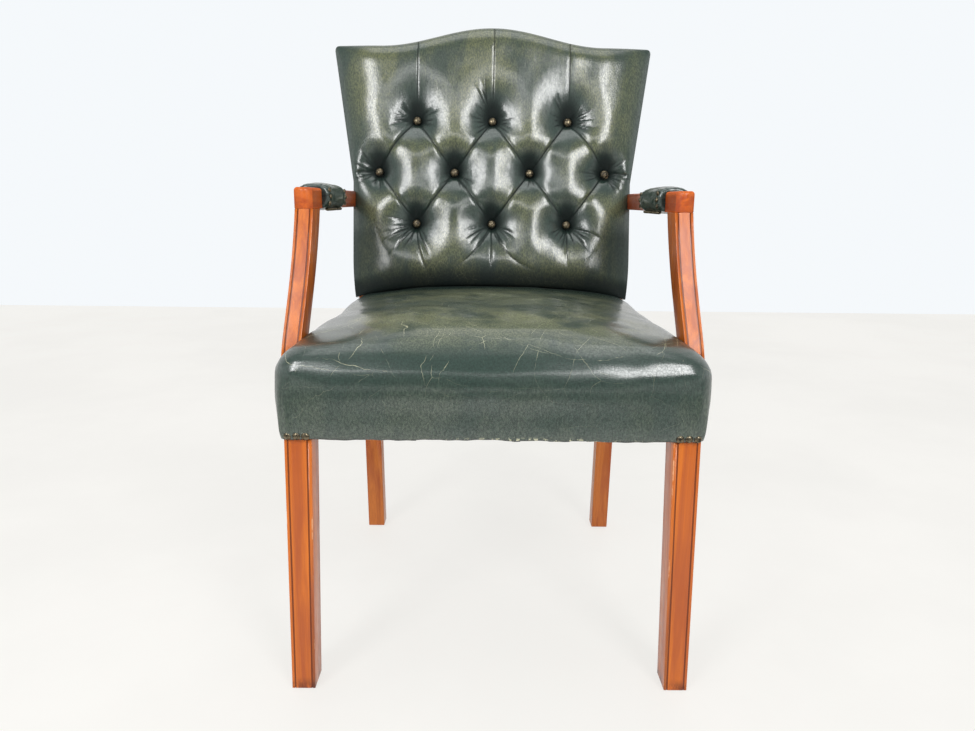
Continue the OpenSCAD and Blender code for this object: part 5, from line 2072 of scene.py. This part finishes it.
@dataclass
class OutsideBack:
    """The leather panel behind the back, stretched between its studs.

    It ends inset from the back's outline, and puckers at every stud_step along its edge.
    """

    back: TuftedBack
    foot_half: float = 256.5
    foot_up: float = 8.0
    inset: float = 2.0
    depth: float = 30.7
    thick: float = 2.2
    stud_step: float = 25.0
    columns: int = 130
    rows: int = 124

    def build(self, material: Material) -> Piece:
        """Makes the panel.

        Args:
            material: Its leather.

        Returns:
            The piece.
        """
        v = np.linspace(0, 1, self.rows)[:, None]
        u = np.linspace(-1, 1, self.columns)[None, :]
        up = self.foot_up + v * (self.back.shoulder - self.inset - self.foot_up)
        half = np.maximum(self.foot_half, self.back.half_width(up) - self.inset - 1)
        x = u * half
        up = self.foot_up + v * (self.back.top(x) - self.inset - self.foot_up)
        half = np.maximum(self.foot_half, self.back.half_width(np.minimum(up, self.back.shoulder))
                          - self.inset - 1)
        x = u * half
        gap = np.minimum(np.minimum(half - np.abs(x), self.back.top(x) - self.inset - up), up - self.foot_up)
        flat = np.stack([x.ravel(), up.ravel()], 1)
        wave = ripple(flat, 120, 31).reshape(x.shape) * 0.35 * smooth(gap, 10, 60)
        along = np.where(gap == half - np.abs(x), up, x)
        pucker = 0.3 * np.sin(2 * math.pi * along / self.stud_step) * bell(gap - 14, 9)
        sag = np.clip(wave + pucker - 0.25 * smooth(gap, 0, 8), -0.6, 0.5)
        rear = self.depth + self.thick + sag
        front = np.full(x.shape, self.depth)
        points = np.concatenate([SETTING.on_back(x.ravel(), rear.ravel(), up.ravel()),
                                 SETTING.on_back(x.ravel(), front.ravel(), up.ravel())])
        rim = rim_of(*x.shape)
        faces = grid_faces(*x.shape)
        faces += [tuple(i + x.size for i in reversed(f)) for f in grid_faces(*x.shape)]
        faces += [(b, a, a + x.size, b + x.size) for a, b in zip(rim, np.roll(rim, -1))]
        piece = new_piece("outside_back_leather", points, faces)
        face_out(piece)
        piece.data.set_sharp_from_angle(angle=math.radians(50))
        rub = 0.45 * smooth(gap, 20, 120) * (0.6 + 0.4 * ripple(flat, 260, 33).reshape(x.shape))
        # Painted shade along the edge, beside the studs
        fold_and_shade = smooth(gap, 9, 0) * 0.5
        write_value(piece, "rub", np.tile(rub.ravel(), 2))
        write_value(piece, "fold_and_shade", np.tile(fold_and_shade.ravel(), 2))
        own(piece, material, ["outside_back"])
        return piece


@dataclass
class DustCover:
    """The black cloth under the seat, stapled to the rails, with a little slack."""

    steps: tuple[int, int] = (56, 50)
    slack: float = 0.35
    swell: float = 70.0
    seed: int = 41

    def build(self, material: Material) -> Piece:
        """Makes the cloth.

        Args:
            material: Its weave.

        Returns:
            The piece.
        """
        piece = copy_of("dust_cover", "dust_cover_cloth")
        mesh = piece.data
        work = bmesh.new()
        work.from_mesh(mesh)
        bmesh.ops.remove_doubles(work, verts=work.verts, dist=DOUBLED)
        low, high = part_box("dust_cover")
        for axis, count in enumerate(self.steps):
            for k in range(1, count):
                spot = low.copy()
                spot[axis] = low[axis] + (high[axis] - low[axis]) * k / count
                normal = Vector((0, 0, 0))
                normal[axis] = 1
                geometry = list(work.verts) + list(work.edges) + list(work.faces)
                bmesh.ops.bisect_plane(work, geom=geometry, plane_co=spot, plane_no=normal)
        work.to_mesh(mesh)
        work.free()
        points = points_of(piece)
        centre, half = (np.array(low) + np.array(high)) / 2, (np.array(high) - np.array(low)) / 2
        u = (points[:, :2] - centre[:2]) / half[:2]
        hang = np.clip(1 - np.abs(u[:, 0]) ** 4, 0, 1) * np.clip(1 - np.abs(u[:, 1]) ** 4, 0, 1)
        wave = self.slack * ripple(SETTING.drawing(points)[:, :2], self.swell, self.seed)
        points[:, 2] += (hang * wave) * MM
        move_points(piece, points)
        own(piece, material, ["dust_cover"])
        return piece


@dataclass
class HiddenFrame:
    """Pieces of the frame that keep their own shape and take a finish."""

    finishes: Finishes

    def dress(self) -> None:
        """Gives every CAD node that is still shown its material."""
        for node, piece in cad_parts.items():
            if piece.hide_render:
                continue
            piece.data.materials.clear()
            piece.data.materials.append(self.finish_of(node))

    def finish_of(self, node: str) -> Material:
        """Chooses a finish by a node's name.

        Args:
            node: The CAD node.

        Returns:
            Its finish.
        """
        kinds = (("webbing", self.finishes.jute), ("hessian", self.finishes.jute),
                 ("twines", self.finishes.twine), ("foam", self.finishes.foam),
                 ("screws", self.finishes.steel), ("staples", self.finishes.steel),
                 ("glides", self.finishes.steel), ("side_rail", self.finishes.stained))
        return next((finish for word, finish in kinds if word in node), self.finishes.beech)


# The studio


@dataclass
class Studio:
    """A plain pale floor, soft lamps and the camera.

    Attributes:
        eye: Place of the camera, in metres.
        pitch: How far it looks down, in degrees.
        yaw: How far it looks to the right, in degrees.
        roll: How far it is tilted to the left, in degrees.
        sky: Colour that the camera sees round the floor.
        daylight: Brightness of the surround on rough surfaces.
        dim_side: Brightness of the near side in reflections.
        overhead: Brightness of the top in reflections.
        lit: Brightness of the floor to the eye.
        faint: How much the floor takes up the lamps' light.
    """

    eye: tuple[float, float, float] = (-0.01446, -1.23763, 0.68856)
    pitch: float = 12.62
    yaw: float = 0.38
    roll: float = 0.61
    lens: float = 27.03
    sensor: float = 36.0
    sky: Colour = (0.915, 0.945, 0.97, 1)
    daylight: float = 0.40
    dim_side: float = 0.10
    overhead: float = 0.4
    floor_colour: Colour = (0.86, 0.85, 0.82, 1)
    floor_tone: float = 0.965
    floor_end: float = 3815.0
    lit: float = 0.74
    faint: float = 0.25

    def build(self) -> None:
        """Sets up everything round the chair."""
        self.camera()
        self.world()
        self.floor()
        self.lamp("left_window", (-1.2, -1.95, 1.73), (0.0, 0.15, 0.85), (0.6, 1.25), 25)
        self.lamp("right_window", (0.84, -1.95, 1.73), (0.0, 0.15, 0.85), (0.6, 1.25), 25)
        self.lamp("far_window", (-0.15, -2.1, 1.85), (0.0, 0.15, 0.85), (1.3, 0.4), 5)
        self.lamp("ceiling", (0.0, -0.2, 2.6), (0.0, 0.1, 0.4), (1.6, 1.2), 10)

    def camera(self) -> None:
        """Puts the camera where the photograph was taken."""
        data = bpy.data.cameras.new("camera")
        data.sensor_fit = "HORIZONTAL"
        data.sensor_width = self.sensor
        data.lens = self.lens
        camera = bpy.data.objects.new("camera", data)
        bpy.context.scene.collection.objects.link(camera)
        turn = (Matrix.Rotation(-math.radians(self.yaw), 4, "Z")
                @ Matrix.Rotation(math.radians(90 - self.pitch), 4, "X")
                @ Matrix.Rotation(math.radians(self.roll), 4, "Z"))
        camera.matrix_world = Matrix.Translation(self.eye) @ turn
        bpy.context.scene.camera = camera

    def world(self) -> None:
        """A white surround for the eye and for reflections, and softer light on the chair."""
        world = bpy.data.worlds.new("studio")
        bpy.context.scene.world = world
        world.use_nodes = True
        sheet = Sheet(world.node_tree)
        rays = sheet.add("ShaderNodeLightPath").outputs
        way = sheet.axes(sheet.add("ShaderNodeTexCoord").outputs["Generated"])
        above = sheet.math("MAXIMUM", sheet.fit(way[2], 0.2, 0.7, 1.0, self.overhead),
                           sheet.fit(way[1], -0.05, 0.35))
        room = sheet.times(sheet.fit(way[1], -0.92, -0.3, self.dim_side, 1.0), above)
        mirrored = sheet.math("MAXIMUM", rays["Is Glossy Ray"], rays["Is Transmission Ray"])
        light = sheet.blend(mirrored, (self.daylight,) * 3 + (1,), room)
        surround = world.node_tree.nodes["Background"]
        sheet.feed(surround.inputs["Color"], sheet.blend(rays["Is Camera Ray"], light, self.sky))
        surround.inputs["Strength"].default_value = 1.0

    def floor(self) -> None:
        """A plain pale floor, which the eye and reflections see nearly white."""
        side = 14000.0
        corners = np.array([[-side, -side, 0], [side, -side, 0], [side, self.floor_end, 0],
                            [-side, self.floor_end, 0]])
        piece = new_piece("floor", corners, [(0, 1, 2, 3)])
        material, sheet, surface = new_material("pale_floor")
        rays = sheet.add("ShaderNodeLightPath").outputs
        place = sheet.place()
        ahead = sheet.axes(place)[1]
        mirrored = sheet.math("MAXIMUM", rays["Is Glossy Ray"], rays["Is Transmission Ray"])
        shade = sheet.math("MAXIMUM", sheet.fit(ahead, -1.3, -0.85), sheet.fit(ahead, -2.2, -2.7))
        mirrored = sheet.times(mirrored, sheet.scaled(shade, self.dim_side, 1.0))
        seen = sheet.math("MAXIMUM", rays["Is Camera Ray"], mirrored)
        tone = sheet.fit(sheet.noise(place, 1.3, 5.0, 0.6), 0.35, 0.65)
        darker = tuple(self.floor_tone * c for c in self.floor_colour[:3]) + (1,)
        colour = sheet.blend(tone, self.floor_colour, darker)
        faint = sheet.blend(1.0, colour, (self.faint,) * 3 + (1,), "MULTIPLY")
        direct = sheet.math("MAXIMUM", rays["Is Camera Ray"], rays["Is Glossy Ray"])
        sheet.feed(surface.inputs["Base Color"], sheet.blend(direct, colour, faint))
        sheet.feed(surface.inputs["Emission Color"], sheet.blend(seen, (0, 0, 0, 1), colour))
        surface.inputs["Emission Strength"].default_value = self.lit / self.floor_colour[1]
        surface.inputs["Roughness"].default_value = 0.6
        surface.inputs["Specular IOR Level"].default_value = 0.1
        piece.data.materials.append(material)

    def lamp(self, name: str, place: Sequence[float], aim: Sequence[float], size: tuple[float, float],
             power: float) -> None:
        """Adds a soft lamp.

        Args:
            name: Its name.
            place: Where it is.
            aim: The point that it faces.
            size: Its width and height.
            power: Its power in watts.
        """
        data = bpy.data.lights.new(name, "AREA")
        data.shape = "RECTANGLE"
        data.size, data.size_y = size
        data.energy = power
        lamp = bpy.data.objects.new(name, data)
        bpy.context.scene.collection.objects.link(lamp)
        lamp.location = place
        lamp.rotation_euler = (Vector(aim) - Vector(place)).to_track_quat("-Z", "Y").to_euler()


def main() -> None:
    """Builds the chair, piece by piece."""
    logging.basicConfig(level=logging.INFO, format="%(name)s: %(message)s")
    bpy.context.scene.view_settings.view_transform = "Standard"
    Studio().build()
    finishes = Finishes()
    back = TuftedBack()
    back.build(finishes.back)
    seat = SeatCushion()
    seat.build(finishes.seat)
    seat.apron(finishes.plain)
    for side in Side:
        ArmPad(side).build(finishes.plain)
    Woodwork(finishes).build()
    OutsideBack(back).build(finishes.plain)
    DustCover().build(finishes.black)
    Studs("back_buttons", finishes.bronze, 24, 0.02).build()
    for node in ("outside_back_studs", "seat_studs_left", "seat_studs_right"):
        Studs(node, finishes.bronze).build()
    for side in Side:
        Studs(side.of("arm_pad_studs"), finishes.bronze, 12).build()
    HiddenFrame(finishes).dress()
    bpy.context.view_layer.update()


if __name__ == "__main__":
    main()
